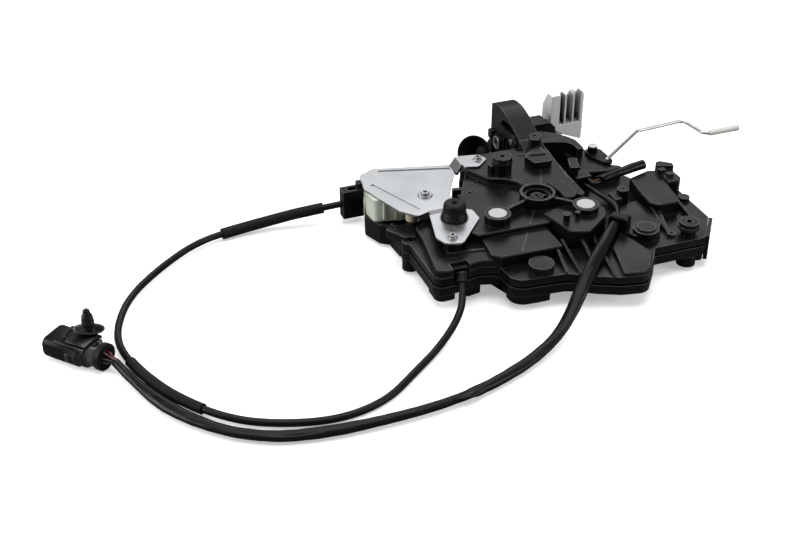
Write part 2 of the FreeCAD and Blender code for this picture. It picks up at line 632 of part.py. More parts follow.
head = head.cut(rod_x(56.0, 65.0, PADDLE_PIN_Y, PADDLE_PIN_Z, PADDLE_PIN_D / 2 - FIT))
head = head.cut(rod_x(HEAD_X, HEAD_X + 12.5, PAWL_Y, PAWL_Z, 3.9))
save("latch_housing", head)

# Steel face of the latch with the collar of the visible bush
MOUTH_CORNER = MOUTH_WIDTH / 2 - 0.1
face_profile = [
    (HEAD_Y + 1.5, 0.0, 2), (MOUTH_Y - MOUTH_WIDTH / 2, 0.0, 2),
    (MOUTH_Y - MOUTH_WIDTH / 2, MOUTH_TOP, MOUTH_CORNER),
    (MOUTH_Y + MOUTH_WIDTH / 2, MOUTH_TOP, MOUTH_CORNER), (MOUTH_Y + MOUTH_WIDTH / 2, 0.0, 2),
    (HEAD_BACK - 0.5, 0.0, 4), (HEAD_BACK - 0.5, 24.0, 3), (HEAD_BACK - 7.0, 30.0, 3),
    (HEAD_BACK - 7.0, 42.0, 5), (CLAW_Y + 7.0, PAWL_Z + 5.0, 6), (PAWL_Y - 1.0, PAWL_Z + 5.5, 4),
    (HEAD_Y + 1.5, PAWL_Z, 3),
]
bushes = [(BUSH_Y, BUSH_Z), (CLAW_Y + 3.0, 5.8), (PAWL_Y - 2.4, PAWL_Z - 10.0)]
plate = side_slab(face_profile, PLATE_X, HEAD_X)
plate = plate.fuse(rod_x(BUSH_X + 0.4, PLATE_X, BUSH_Y, BUSH_Z, BUSH_COLLAR / 2))
plate = plate.fuse(side_slab([
    (BUSH_Y + 8.9, BUSH_Z - 1.9, 2), (BUSH_Y + 15.3, BUSH_Z - 1.9, 2), (BUSH_Y + 15.3, BUSH_Z + 6.1, 2),
    (BUSH_Y + 8.9, BUSH_Z + 6.1, 2),
], PLATE_X - 2.8, PLATE_X))
for y in (MOUTH_Y + 3.8, MOUTH_Y - 2.7):
    plate = plate.fuse(box(PLATE_X - 2.0, PLATE_X, y - 0.8, y + 0.8, MOUTH_TOP + 1.0, PAWL_Z - 1.0))
for i, (y, z) in enumerate(bushes):
    radius = BUSH_OUTER / 2 if i == 0 else 3.6
    plate = plate.cut(rod_x(BUSH_X - 1.0, HEAD_X + 1.0, y, z, radius))
plate = plate.cut(rod_x(BUSH_X, HEAD_X + 1.0, CLAW_Y, CLAW_Z, CLAW_BORE / 2 - FIT))
plate = plate.cut(rod_x(BUSH_X, HEAD_X + 1.0, PAWL_Y, PAWL_Z, PAWL_BORE / 2 - FIT))
save("latch_plate", plate.removeSplitter())

# Threaded fixing bushes in the plate
bush_solids = []
for i, (y, z) in enumerate(bushes):
    outer = BUSH_OUTER / 2 if i == 0 else 3.6
    bore = BUSH_BORE / 2 if i == 0 else 2.5
    front = BUSH_X if i == 0 else PLATE_X - 0.6
    bush_solids.append(rod_x(front, HEAD_X, y, z, outer).cut(rod_x(front - 1, HEAD_X + 1, y, z, bore)))
save("fixing_bushes", bush_solids)

# Catch: a disc with a slot that takes the striker, and a step for the pawl
CLAW_X = HEAD_X + 0.6
claw = rod_x(CLAW_X, CLAW_X + CLAW_THICK, CLAW_Y, CLAW_Z, CLAW_R)
slot = box(CLAW_X - 1, CLAW_X + CLAW_THICK + 1, CLAW_Y - CLAW_R - 5, CLAW_Y - STRIKER_REACH,
           CLAW_Z - CLAW_SLOT / 2, CLAW_Z + CLAW_SLOT / 2)
slot = slot.fuse(rod_x(CLAW_X - 1, CLAW_X + CLAW_THICK + 1, CLAW_Y - STRIKER_REACH, CLAW_Z,
                       CLAW_SLOT / 2))
waist = box(CLAW_X - 1, CLAW_X + CLAW_THICK + 1, CLAW_Y + 1.0, CLAW_Y + CLAW_R + 5,
            CLAW_Z - 30, CLAW_Z - 11.0)
notch = box(CLAW_X - 1, CLAW_X + CLAW_THICK + 1, CLAW_Y + 6.0, CLAW_Y + 30.0, CLAW_Z + 11.5,
            CLAW_Z + 30.0)
claw = claw.cut(slot).cut(waist).cut(notch)
claw = claw.cut(rod_x(CLAW_X - 1, CLAW_X + CLAW_THICK + 1, CLAW_Y, CLAW_Z, CLAW_BORE / 2 + FIT))
claw.rotate(V(0, CLAW_Y, CLAW_Z), X_AXIS, CLAW_OPEN)
save("claw", claw)
save("claw_pin", rod_x(PLATE_X - 0.8, HOOD_X - 2.0, CLAW_Y, CLAW_Z, CLAW_BORE / 2 - FIT))

# Pawl that rides on the edge of the catch
PAWL_TIP_Y = CLAW_Y - 2.0
PAWL_LOW = CLAW_Z + CLAW_R + 0.6
pawl = joined([
    rod_x(CLAW_X, CLAW_X + CLAW_THICK, PAWL_Y, PAWL_Z, PAWL_HUB_R),
    side_slab([
        (PAWL_Y, PAWL_Z + PAWL_HUB_R - 0.2), (PAWL_TIP_Y, PAWL_LOW + 6.0, 1.5),
        (PAWL_TIP_Y + 2.0, PAWL_LOW, 1), (PAWL_TIP_Y - 4.0, PAWL_LOW, 2),
        (PAWL_Y + 6.0, PAWL_LOW + 1.0, 2), (PAWL_Y, PAWL_Z - PAWL_HUB_R + 0.2),
    ], CLAW_X, CLAW_X + CLAW_THICK),
])
pawl = pawl.cut(rod_x(CLAW_X - 1, CLAW_X + CLAW_THICK + 1, PAWL_Y, PAWL_Z, PAWL_BORE / 2 + FIT))
save("pawl", pawl)
save("pawl_pin", rod_x(PLATE_X - 0.8, HOOD_X - 2.0, PAWL_Y, PAWL_Z, PAWL_BORE / 2 - FIT))

# Guide funnel behind the plateau, on an arm from the steel face
FUNNEL_AT = V(4.9, 128.5, 18.8)
FUNNEL_WAY = V(0.75, 0.6, -0.28).normalize()
FUNNEL_R = 15.4
FUNNEL_LONG = 14.0
FUNNEL_END_R = 6.0
FUNNEL_WALL = 1.1
funnel = joined([
    Part.makeCone(FUNNEL_R, FUNNEL_END_R, FUNNEL_LONG, FUNNEL_AT, FUNNEL_WAY),
    box(FUNNEL_AT.x + 4.0, PLATE_X, FUNNEL_AT.y - 3.5, FUNNEL_AT.y + 6.0, FUNNEL_AT.z - 9.0,
        FUNNEL_AT.z - 3.0),
])
funnel = funnel.cut(Part.makeCone(
    FUNNEL_R - FUNNEL_WALL, FUNNEL_END_R - FUNNEL_WALL - 0.4, FUNNEL_LONG, FUNNEL_AT, FUNNEL_WAY))
funnel = funnel.cut(Part.makeCylinder(FUNNEL_R, 20.0, FUNNEL_AT - FUNNEL_WAY * 20.0, FUNNEL_WAY))
save("guide_funnel", max(funnel.Solids, key=lambda s: s.Volume))

# Outer lever of cast zinc with its slots, on a pin from the head
paddle = side_slab([
    (PADDLE_Y0, PADDLE_BASE, 1), (PADDLE_Y0, PADDLE_TOP - 0.3, 0.8),
    (PADDLE_Y0 + 7.0, PADDLE_TOP - 1.2, 9), (PADDLE_Y0 + PADDLE_DEPTH - 0.5, PADDLE_TOP - 15.0, 6),
    (PADDLE_Y0 + PADDLE_DEPTH, PADDLE_BASE, 2),
], PADDLE_X0, PADDLE_X1)
shoulder = front_slab([
    (PADDLE_X0, 20.0), (PADDLE_X0, PADDLE_TOP - 2.7, 1.2), (PADDLE_X0 + 19.2, PADDLE_TOP - 2.7),
    (PADDLE_X0 + 20.2, PADDLE_TOP), (PADDLE_X1, PADDLE_TOP, 6.5), (PADDLE_X1, 20.0),
], 150.0, 110.0)
paddle = paddle.common(shoulder)
for x0, x1 in PADDLE_SLOTS:
    paddle = paddle.cut(box(PADDLE_X0 + x0, PADDLE_X0 + x1, PADDLE_Y0 - 1, PADDLE_Y0 + 11.5,
                            PADDLE_BASE + 1.5, PADDLE_TOP + 20.0))
hub = rod_x(PADDLE_X0 + 7.2, PADDLE_X1, PADDLE_PIN_Y, PADDLE_PIN_Z, 6.0)
neck = joined([
    box(PADDLE_X0 + 7.2, PADDLE_X1, PADDLE_PIN_Y - 6.0, PADDLE_PIN_Y + 6.0, PADDLE_PIN_Z,
        PADDLE_BASE + 1.0),
    front_slab([
        (PADDLE_X0 + 4.5, PADDLE_BASE + 1.0), (PADDLE_X0 + 4.5, 31.5, 1), (PADDLE_X0 + 13.6, 25.9, 1),
        (PADDLE_X1, 20.0, 1), (PADDLE_X1, PADDLE_BASE + 1.0),
    ], PADDLE_Y0 + 3.2, PADDLE_Y0),
])
paddle = joined([paddle, hub, neck])
paddle = paddle.cut(rod_x(60.0, 100.0, PADDLE_PIN_Y, PADDLE_PIN_Z, PADDLE_PIN_D / 2 + FIT))
save("outside_lever", paddle)
pin = rod_x(PADDLE_X0 - 8.0, PADDLE_X1 + 0.6, PADDLE_PIN_Y, PADDLE_PIN_Z, PADDLE_PIN_D / 2 - FIT)
pin = pin.fuse(rod_x(PADDLE_X1 + 0.6, PADDLE_X1 + 2.2, PADDLE_PIN_Y, PADDLE_PIN_Z, 4.6))
save("outside_lever_pin", pin)
save("outside_lever_spring", ring_coil(65.5, PADDLE_PIN_Y, PADDLE_PIN_Z, 3.7, 0.65, 6, 1.4))

# Small torsion spring beside the pawl, on its own peg of the housing
save("pawl_spring", ring_coil(
    CLAW_X + CLAW_THICK + 1.1, PAWL_Y, PAWL_Z, 3.1, 0.45, 5, 0.95))

# Rubber buffer at the end of the mouth
save("striker_buffer", box(
    CLAW_X + CLAW_THICK + 1.6, HOOD_X, MOUTH_Y - 5.5, MOUTH_Y + 5.5, MOUTH_TOP - 3.0, MOUTH_TOP))

# Galvanised bracket: main plate with a low tab and a high tab
MAIN_SHEET = [
    (-107.5, 73.0, 5), (-104.0, 93.5, 4), (-91.8, 100.5, 6), (-33.0, 85.5, 2), (-36.5, 72.0, 2),
    (-52.0, 44.0, 4), (-52.0, 26.5), (-76.0, 26.5), (-84.0, 23.5, 4), (-94.0, 35.0, 8),
]
LOW_SHEET = [
    (-77.0, 20.0), (-84.0, -9.5, 5), (-80.4, -19.5, 5), (-69.0, -23.0, 5), (-45.4, 4.1, 3),
    (-45.7, 16.5, 3), (-52.0, 20.0),
]
HIGH_SHEET = [
    (-30.0, 68.3, 2), (-30.0, 85.8, 2), (-13.0, 82.4, 3), (-9.2, 74.5, 3), (-19.5, 65.2, 3),
]
bracket = slab(MAIN_SHEET, BRACKET_Z, MIDDLE_Z)
bracket = bracket.fuse(slab(LOW_SHEET, LOW_TAB_Z, LOW_TAB_Z + SHEET))
bracket = bracket.fuse(slab(HIGH_SHEET, UPPER_Z, UPPER_Z + SHEET))
bracket = bracket.fuse(side_slab([
    (19.0, LOW_TAB_Z), (27.5, BRACKET_Z), (27.5, BRACKET_Z + SHEET), (19.0, LOW_TAB_Z + SHEET),
], -75.5, -52.0))
bracket = bracket.fuse(front_slab([
    (-35.5, BRACKET_Z), (-33.8, BRACKET_Z), (-29.5, UPPER_Z), (-29.5, UPPER_Z + SHEET),
    (-31.0, UPPER_Z + SHEET), (-35.5, MIDDLE_Z),
], 84.8, 71.5))
bracket = bracket.cut(rib((-88.6, 95.1), (-36.6, 80.8), 2.4, MIDDLE_Z - 0.6, MIDDLE_Z + 1.0))
bracket = bracket.cut(rib((-100.2, 77.5), (-80.5, 32.0), 3.0, MIDDLE_Z - 0.6, MIDDLE_Z + 1.0))
for x, y in (LARGE_SCREW, HIGH_SCREW, LOW_SCREW, BUFFER_XY):
    bracket = bracket.cut(post(x, y, 30.0, 50.0, 2.1))
save("support_bracket", bracket.removeSplitter())


def flanged_screw(x, y, seat, flange_r, head_r, head_h, length):
    """Flanged screw with a star socket, its shank below the seat."""
    shape = post(x, y, seat, seat + 1.0, flange_r, flange_r - 0.4)
    shape = shape.fuse(post(x, y, seat + 0.9, seat + head_h, head_r, head_r - 0.3))
    shape = shape.fuse(post(x, y, seat - length, seat + 0.5, 2.0))
    star = post(x, y, seat + head_h - 1.6, seat + head_h + 1.0, 1.2)
    for i in range(3):
        lobe = box(x - 1.7, x + 1.7, y - 0.4, y + 0.4, seat + head_h - 1.6, seat + head_h + 1.0)
        lobe.rotate(V(x, y, 0), Z_AXIS, 60 * i)
        star = star.fuse(lobe)
    return shape.cut(star)


save("bracket_screw_large", flanged_screw(*LARGE_SCREW, MIDDLE_Z, 5.4, 3.2, 3.0, 9.0))
save("bracket_screws", [
    flanged_screw(*HIGH_SCREW, UPPER_Z + SHEET, 3.5, 2.5, 2.8, SHEET + 1.0),
    flanged_screw(*LOW_SCREW, LOW_TAB_Z + SHEET, 3.6, 2.7, 2.8, SHEET + 1.0),
])

# Rubber buffer on the low tab
seat = LOW_TAB_Z + SHEET
buffer = post(*BUFFER_XY, seat, seat + 2.0, BUFFER_BASE_D / 2 + 0.6)
buffer = buffer.fuse(post(*BUFFER_XY, seat + 2.0, seat + BUFFER_H, BUFFER_BASE_D / 2, BUFFER_TOP_D / 2))
buffer = buffer.cut(post(*BUFFER_XY, seat + 5.0, seat + 20.0, 2.0))
save("rubber_buffer", buffer)

# Clear nylon cable unit on the lobe, with its beige roller and end block
NYLON = [
    (-107.0, 70.0, 3), (-105.5, 57.5, 4), (-86.0, 53.0, 4), (-77.0, 53.5), (-74.5, 44.0, 3),
    (-63.0, 44.0, 3), (-62.5, 88.0, 3), (-88.0, 98.5, 3), (-101.8, 98.5), (-101.8, 90.5),
]
nylon = slab(NYLON, PARTING_Z, BRACKET_Z)
nylon = nylon.cut(inset(NYLON, 2.2, PARTING_Z, BRACKET_Z - 2.2))
nylon = joined([
    nylon,
    post(*LARGE_SCREW, PARTING_Z, BRACKET_Z, 4.6),
    box(-99.0, -96.8, 54.6, 57.0, 21.0, 35.0),
    box(-90.5, -88.3, 53.2, 57.0, 21.0, 35.0),
])
nylon = nylon.cut(post(*LARGE_SCREW, 28.0, 50.0, 2.0))
nylon = nylon.cut(box(-108.0, -97.8, 90.0, 99.0, 12.0, 21.0))
save("cable_unit", nylon)
roller = post(-81.5, 43.0, 24.5, 33.5, 4.6)
roller = roller.fuse(post(-81.5, 43.0, 23.0, BRACKET_Z, 2.4))
save("cable_roller", roller)
save("roller_post", post(-81.5, 43.0, 3.0 + WALL, 23.0, 4.0))
block = box(-118.0, -101.8, 91.0, 100.0, 5.0, 28.0)
block = block.cut(box(-113.5, -106.5, 93.0, 98.0, 24.0, 30.0))
block = block.fuse(box(-105.4, -101.8, 94.0, 100.0, 28.0, 31.5))

# Bowden cable round to the front wall, and its two foam sleeves
BOWDEN = [
    (-112.0, 96.0, 16.0), (-150.0, 99.5, 13.0), (-168.0, 104.0, 8.5), (-192.0, 106.0, 5.0),
    (-228.0, 99.5, LYING_Z), (-262.0, 73.5, LYING_Z), (-289.0, 45.0, LYING_Z),
    (-303.0, 14.0, LYING_Z), (-306.5, -12.0, LYING_Z), (-298.0, -44.0, LYING_Z),
    (-282.0, -77.0, LYING_Z), (-256.0, -108.0, LYING_Z), (-226.0, -122.0, 3.4),
    (-192.0, -128.5, 2.6), (-160.0, -121.0, 2.6), (-134.0, -100.5, 2.6),
    (-111.0, -83.0, 3.2), (-91.0, -65.0, 7.0), (-79.6, -50.6, 13.6), GLAND_IN,
]
block = block.cut(tube(centreline(BOWDEN[:3]), BOWDEN_D / 2))
save("cable_end_block", block.removeSplitter())
save("bowden_cable", tube(centreline(BOWDEN), BOWDEN_D / 2))
save("foam_sleeve_1", tube(centreline(BOWDEN, 0, 3), FOAM_D / 2, BOWDEN_D / 2))
save("foam_sleeve_2", tube(centreline(BOWDEN, 8, 10), FOAM_D / 2, BOWDEN_D / 2))
gland = cylinder_along(GLAND_OUT, GLAND_IN, GLAND_R)
gland = gland.fuse(box(-80.5, -70.5, -35.5, -31.5, PARTING_Z + 0.6, 29.0))
gland = gland.cut(tube(centreline(BOWDEN[-3:]), BOWDEN_D / 2))
gland = gland.cut(box(-90.0, -60.0, -60.0, -20.0, 0.0, PARTING_Z + 0.6))
save("cable_gland", gland)

# Wiring sleeve, the taped bundle that enters it and the clip that holds the bundle down
save("harness_sleeve", tube(centreline(HARNESS), HARNESS_D / 2))
BUNDLE = [(51.0, 31.8, 33.6), (54.7, 8.0, 36.0), (56.9, -16.15, 36.0), (43.2, -30.3, 35.0)]
save("wire_bundle", tube(centreline(BUNDLE), BUNDLE_D / 2))
CLIP_TOP = GEAR_Z + 10.0
clip = rib((44.5, -22.0), (54.0, -32.5), 8.0, RIM_Z, CLIP_TOP)
clip = clip.makeFillet(2.0, [e for e in clip.Edges if e.BoundBox.ZMin > CLIP_TOP - 0.01])
clip = clip.cut(tube(centreline(BUNDLE), BUNDLE_D / 2 + 0.1))
for points, top in areas:
    clip = clip.cut(slab(points, 0.0, top))
save("harness_clip", max(clip.Solids, key=lambda s: s.Volume))

# Short sleeve with open wires, across the motor area
SHORT = [(59.0, 23.0, 39.8), (81.0, 29.5, 39.9), (101.5, 33.0, 40.0)]
save("short_sleeve", tube(centreline(SHORT), SHORT_D / 2, SHORT_D / 2 - 0.9))
wire_solids = []
for x, z, dy, dz in ((56.2, 34.5, -1.3, 0.6), (56.4, 36.5, 0.9, 1.2), (54.6, 37.6, 0.2, -1.4)):
    points = [(x, 31.6, z), (54.2, 21.6 + dy, 39.8 + dz), (81.0, 29.5 + dy, 39.9 + dz)]
    wire_solids.append(tube(centreline(points), 0.75))
save("short_sleeve_wires", wire_solids)

# Connector at the end of the wiring, turned to lie as in the picture
SEAL_AT = V(*HARNESS[-1]) + V(-5.6, 6.0, 1.5)
CONNECTOR_TURN = 132.4
CONNECTOR_LONG = 38.0
CONNECTOR_WIDE = 25.0
CONNECTOR_HIGH = 17.0


def placed(shape):
    """Move a piece of the connector from its own frame."""
    shape.rotate(V(0, 0, 0), Z_AXIS, CONNECTOR_TURN)
    shape.translate(SEAL_AT)
    return shape


half_w = CONNECTOR_WIDE / 2
low = -SEAL_AT.z
high = low + CONNECTOR_HIGH
body = box(7.0, 7.0 + CONNECTOR_LONG - 4.0, -half_w, half_w, low, high)
body = body.makeFillet(2.0, [e for e in body.Edges if abs(e.tangentAt(0).x) > 0.9])
body = body.fuse(Part.makeCylinder(8.2, 8.0, V(0, 0, 0), X_AXIS))
body = body.fuse(box(12.0, 26.0, -7.0, 7.0, high - 0.5, high + 1.6))
for y in (-9.0, 9.0):
    body = body.fuse(box(9.0, 32.0, y - 0.8, y + 0.8, high - 0.5, high + 0.9))
socket = box(14.0, 60.0, -half_w + 2.0, half_w - 2.0, low + 2.0, high - 2.0)
body = body.cut(socket)
body = body.fuse(box(13.5, 34.0, -half_w + 4.5, half_w - 4.5, low + 4.5, high - 4.5))
pin_rows = [(y, z) for y in (-6.0, -2.0, 2.0, 6.0) for z in (-2.6, 1.0)]
for y, z in pin_rows:
    body = body.cut(box(24.0, 40.0, y - 0.9, y + 0.9, z - 0.9, z + 0.9))
body = body.cut(Part.makeCylinder(5.4, 14.0, V(-1.0, 0, 0), X_AXIS))
save("connector_body", placed(body.removeSplitter()))
save("connector_pins", placed(Part.makeCompound([
    box(20.0, 32.5, y - 0.35, y + 0.35, z - 0.35, z + 0.35).cut(box(0, 24.0, -9, 9, -9, 9))
    for y, z in pin_rows
])))
seal = Part.makeCylinder(9.2, 3.2, V(-1.0, 0, 0), X_AXIS)
seal = seal.cut(Part.makeCylinder(8.2, 5.0, V(0.0, 0, 0), X_AXIS))
seal = seal.cut(Part.makeCylinder(5.6, 5.0, V(-2.0, 0, 0), X_AXIS))
save("connector_seal", placed(seal))
wires = []
for i in range(6):
    angle = math.radians(60 * i)
    y = 2.0 * math.cos(angle)
    z = 2.0 * math.sin(angle)
    wires.append(tube([Part.makeLine(V(-6.8, y, z), V(12.4, 1.4 * y, 1.4 * z))], 0.8))
wires = [placed(wire) for wire in wires]
save("connector_wires", wires)

# Fir tree clip on the connector
CLIP_X = 19.0
CLIP_Y = -6.5
tree = box(CLIP_X - 7.0, CLIP_X + 6.0, CLIP_Y - 5.0, CLIP_Y + 5.0, high + 1.6, high + 3.6)
tree = tree.fuse(post(CLIP_X, CLIP_Y, high + 3.5, high + 6.0, 4.0, 8.6))
tree = tree.fuse(post(CLIP_X, CLIP_Y, high + 6.0, high + 7.2, 8.6, 8.2))
tree = tree.fuse(post(CLIP_X, CLIP_Y, high + 7.0, high + 20.5, 1.4, 1.0))
for i in range(5):
    z = high + 8.6 + 2.3 * i
    tree = tree.fuse(post(CLIP_X, CLIP_Y, z, z + 1.8, 3.4 - 0.25 * i, 1.4))
save("fir_tree_clip", placed(tree))

# Lock lever, and the rod with its knurled end
LEVER_XY = (77.0, 68.0)
ROD_Z = 40.0
ROD_D = 2.8
ROD_EYE = (80.0, 50.0)
lever = slab([
    (71.5, 62.0, 3), (76.5, 50.0, 4), (81.0, 44.5, 4), (85.0, 50.0, 4), (84.5, 69.0, 4),
    (78.0, 74.5, 4), (71.5, 71.0, 4),
], 36.3, 38.3)
lever = lever.fuse(post(*LEVER_XY, 36.3, 42.0, 3.8))
lever = lever.cut(post(*LEVER_XY, 30.0, 50.0, 2.5 + FIT))
lever = lever.cut(post(*ROD_EYE, 30.0, 50.0, ROD_D / 2 + 0.1))
save("lock_lever", lever)
save("lock_lever_pin", post(*LEVER_XY, BACK_Z, 42.4, 2.5 - FIT).fuse(
    post(*LEVER_XY, 42.4, 43.4, 3.6)))
ROD = [
    (80.0, 50.0, ROD_Z), (124.0, 83.0, ROD_Z), (168.0, 86.5, ROD_Z), (172.0, 60.5, ROD_Z),
    (202.0, 60.5, ROD_Z),
]
rod = tube(centreline(ROD, bend=5.0), ROD_D / 2)
rod = rod.fuse(post(*ROD_EYE, 36.0 + 0.4, ROD_Z, ROD_D / 2))
rod = rod.fuse(Part.makeSphere(ROD_D / 2, V(ROD_EYE[0], ROD_EYE[1], ROD_Z)))
save("lock_rod", rod)
end_x = ROD[-1][0]
end_y = ROD[-1][1]
ferrule = rod_x(end_x - 26.0, end_x + 1.0, end_y, ROD_Z, 2.2)
for i in range(9):
    ridge_x = end_x - 25.4 + 2.9 * i
    ferrule = ferrule.fuse(rod_x(ridge_x, ridge_x + 1.5, end_y, ROD_Z, 2.5))
ferrule = ferrule.cut(rod_x(end_x - 32.0, end_x, end_y, ROD_Z, ROD_D / 2))
save("rod_ferrule", ferrule)

# Lever that pulls the inner cable, in the lobe
save("inner_lever_pin", post(-72.0, 78.0, 3.0 + WALL, 17.0, 3.0 - FIT))
inner = slab([
    (-77.5, 82.0, 4), (-77.5, 72.5, 4), (-66.0, 72.5, 3), (-66.0, 82.0, 4),
], 9.0, 12.0)
inner = inner.fuse(slab([(-90.0, 80.0, 2), (-90.0, 74.5, 2), (-74.0, 72.5), (-74.0, 82.0)], 9.0, 12.0))
inner = inner.fuse(post(-72.0, 78.0, 7.0, 15.0, 4.6))
inner = inner.cut(post(-72.0, 78.0, 0.0, 30.0, 3.0 + FIT))
save("inner_lever", inner.removeSplitter())

# Motor, worm and worm wheel in the pan
motor = box(MOTOR_AXIS_X - 9.0, MOTOR_AXIS_X + 9.0, -4.0, 20.0, PAN_Z + WALL, MOTOR_AXIS_Z + 7.5)
motor = motor.makeFillet(4.0, [e for e in motor.Edges if abs(e.tangentAt(0).y) > 0.9])
save("lock_motor", motor)
worm = Part.makeCylinder(2.6, 20.0, V(MOTOR_AXIS_X, -28.0, MOTOR_AXIS_Z), Y_AXIS)
for i in range(6):
    y = -27.0 + 3.0 * i
    ridge = Part.makeCone(2.6, WORM_R, 0.9, V(MOTOR_AXIS_X, y, MOTOR_AXIS_Z), Y_AXIS)
    ridge = ridge.fuse(Part.makeCone(WORM_R, 2.6, 0.9, V(MOTOR_AXIS_X, y + 0.9, MOTOR_AXIS_Z), Y_AXIS))
    worm = worm.fuse(ridge)
worm = worm.cut(Part.makeCylinder(1.0, 24.0, V(MOTOR_AXIS_X, -30.0, MOTOR_AXIS_Z), Y_AXIS))
save("worm", worm)
save("motor_shaft", Part.makeCylinder(1.0, 26.0, V(MOTOR_AXIS_X, -30.0, MOTOR_AXIS_Z), Y_AXIS))
teeth = []
for i in range(WHEEL_TEETH):
    for part, radius in ((-0.34, WHEEL_R - 1.6), (-0.16, WHEEL_R), (0.16, WHEEL_R), (0.34, WHEEL_R - 1.6)):
        angle = 2 * math.pi * (i + part) / WHEEL_TEETH
        teeth.append((WHEEL_X + radius * math.cos(angle), WHEEL_Y + radius * math.sin(angle)))
wheel = slab(teeth, MOTOR_AXIS_Z - 3.0, MOTOR_AXIS_Z + 3.0)
wheel = wheel.fuse(post(WHEEL_X, WHEEL_Y, PAN_Z + WALL + 0.4, MOTOR_AXIS_Z + 5.0, 5.0))
wheel = wheel.cut(post(WHEEL_X, WHEEL_Y, 0.0, 30.0, 2.5 + FIT))
save("worm_wheel", wheel)
save("wheel_pin", post(WHEEL_X, WHEEL_Y, PAN_Z + WALL, MOTOR_AXIS_Z + 7.0, 2.5 - FIT))

# Circuit board with its switches
BOARD_Z = PAN_Z + WALL + 3.0
board = slab([
    (-74.0, -12.0, 2), (-44.0, -12.0, 2), (-34.0, -36.0, 2), (22.0, -42.0, 2), (22.0, -22.0, 2),
    (-10.0, 20.0, 2), (-74.0, 14.0, 2),
], BOARD_Z, BOARD_Z + 1.6)
board = board.cut(post(*CAP_BOSSES[0], 0.0, 30.0, 5.0))
save("circuit_board", board)
save("board_posts", [
    post(x, y, PAN_Z + WALL, BOARD_Z, 2.5) for x, y in ((-68.0, 0.0), (-14.0, 8.0), (12.0, -38.0))
])
save("microswitches", [
    box(x, x + 12.8, y, y + 5.8, BOARD_Z + 1.6, BOARD_Z + 8.1)
    for x, y in ((-66.0, 4.0), (-20.0, -20.0), (0.0, -36.0))
])

# Screws that close the housing from below
save("housing_screws", [
    post(x, y, PAN_Z + 0.3, PAN_Z + 1.8, 2.4, 3.2).fuse(post(x, y, PAN_Z + 1.7, 15.8, SCREW_R))
    for x, y in SCREWS
])
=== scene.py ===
# %% [markdown]
# # Dressing a car door lock
#
# A door lock is a moulded box full of levers, with a latch at one end and cables at the other.
# The CAD model already has every part at its real size. This lesson leaves those parts where
# they are and gives each the finish it has in a photograph: satin black mouldings, bright
# galvanised sheet, cast zinc, milky nylon and black vinyl sleeves. Cables, soft pieces and
# fine ribs are made again as new surfaces, because their folds and ridges are too small or too
# irregular to be worth drawing as solids.

import bmesh
import bpy
import numpy as np
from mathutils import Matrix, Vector


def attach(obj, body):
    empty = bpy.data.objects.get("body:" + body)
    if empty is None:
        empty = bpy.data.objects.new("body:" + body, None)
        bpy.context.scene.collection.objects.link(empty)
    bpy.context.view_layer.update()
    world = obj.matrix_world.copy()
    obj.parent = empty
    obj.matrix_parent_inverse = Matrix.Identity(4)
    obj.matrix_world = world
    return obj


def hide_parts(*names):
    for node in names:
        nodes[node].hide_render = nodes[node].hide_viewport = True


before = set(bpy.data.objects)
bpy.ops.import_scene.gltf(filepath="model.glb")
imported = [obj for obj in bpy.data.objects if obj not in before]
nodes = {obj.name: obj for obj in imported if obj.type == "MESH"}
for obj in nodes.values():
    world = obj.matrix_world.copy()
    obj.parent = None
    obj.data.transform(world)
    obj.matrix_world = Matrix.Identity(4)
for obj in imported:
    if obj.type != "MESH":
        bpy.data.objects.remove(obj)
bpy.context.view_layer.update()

print("parts in the lock:", len(nodes))

# %% [markdown]
# ## Where things are
#
# The CAD source draws the lock in millimetres on the surface it lies on, then moves it so
# that the mouth of the fixing bush is the origin. Working with the same millimetres here
# saves mistakes, so one small function turns them into Blender's metres. The other way would
# be to move each piece after it is made, but then a pattern on it would move as well.

# %% From drawing millimetres to metres
MM = 0.001
BUSH_MOUTH = np.array([17.0, 115.5, 33.5])


def placed(points):
    """Points in drawing millimetres as an array in metres, with the bush mouth at the origin."""
    return (np.asarray(points, float) - BUSH_MOUTH) * MM


FLOOR_Z = placed([0.0, 0.0, 0.0])[2]
print("surface under the lock:", round(FLOOR_Z, 4))

# %% [markdown]
# ## The camera
#
# The photograph looks down at about 33 degrees, from a little to the left of the lock's long
# side. A lens of 58.5 mm on a 36 mm sensor gives the same convergence. The place was worked
# out from parts of known size, so that the camera needs no shift and no roll.

# %% Camera
LENS_MM = 58.5
SENSOR_MM = 36.0
CAMERA_AT = (-0.390413, -0.828693, 0.476385)
DOWN_DEGREES = 33.0
TURN_DEGREES = 20.5

camera_data = bpy.data.cameras.new("studio_camera")
camera_data.lens = LENS_MM
camera_data.sensor_width = SENSOR_MM
camera_data.clip_start = 0.05
camera_data.clip_end = 20.0
camera = bpy.data.objects.new("studio_camera", camera_data)
camera.location = CAMERA_AT
camera.rotation_euler = np.radians([90.0 - DOWN_DEGREES, 0.0, -TURN_DEGREES])
bpy.context.scene.collection.objects.link(camera)
bpy.context.scene.camera = camera
print("camera's distance from the fixing bush:", round(float(np.linalg.norm(CAMERA_AT)), 3))

# %% [markdown]
# ## Helpers for surfaces
#
# A new piece is a grid of points: rows run along the piece and columns run round it. The
# whole grid is worked out at once with numpy, and the faces follow from counting, so no loop
# visits single points. Blender's own tools could extrude the same forms, but a formula is
# easier to correct against a photograph.

# %% Grid to mesh
def grid_faces(rows, columns):
    """Quads of a grid whose columns close on themselves: each joins a point, its right
    neighbour, and the two above them."""
    row, column = np.meshgrid(np.arange(rows - 1), np.arange(columns), indexing="ij")
    after = (column + 1) % columns
    quads = [row * columns + column, row * columns + after,
             (row + 1) * columns + after, (row + 1) * columns + column]
    return np.stack(quads, axis=-1).reshape(-1, 4)


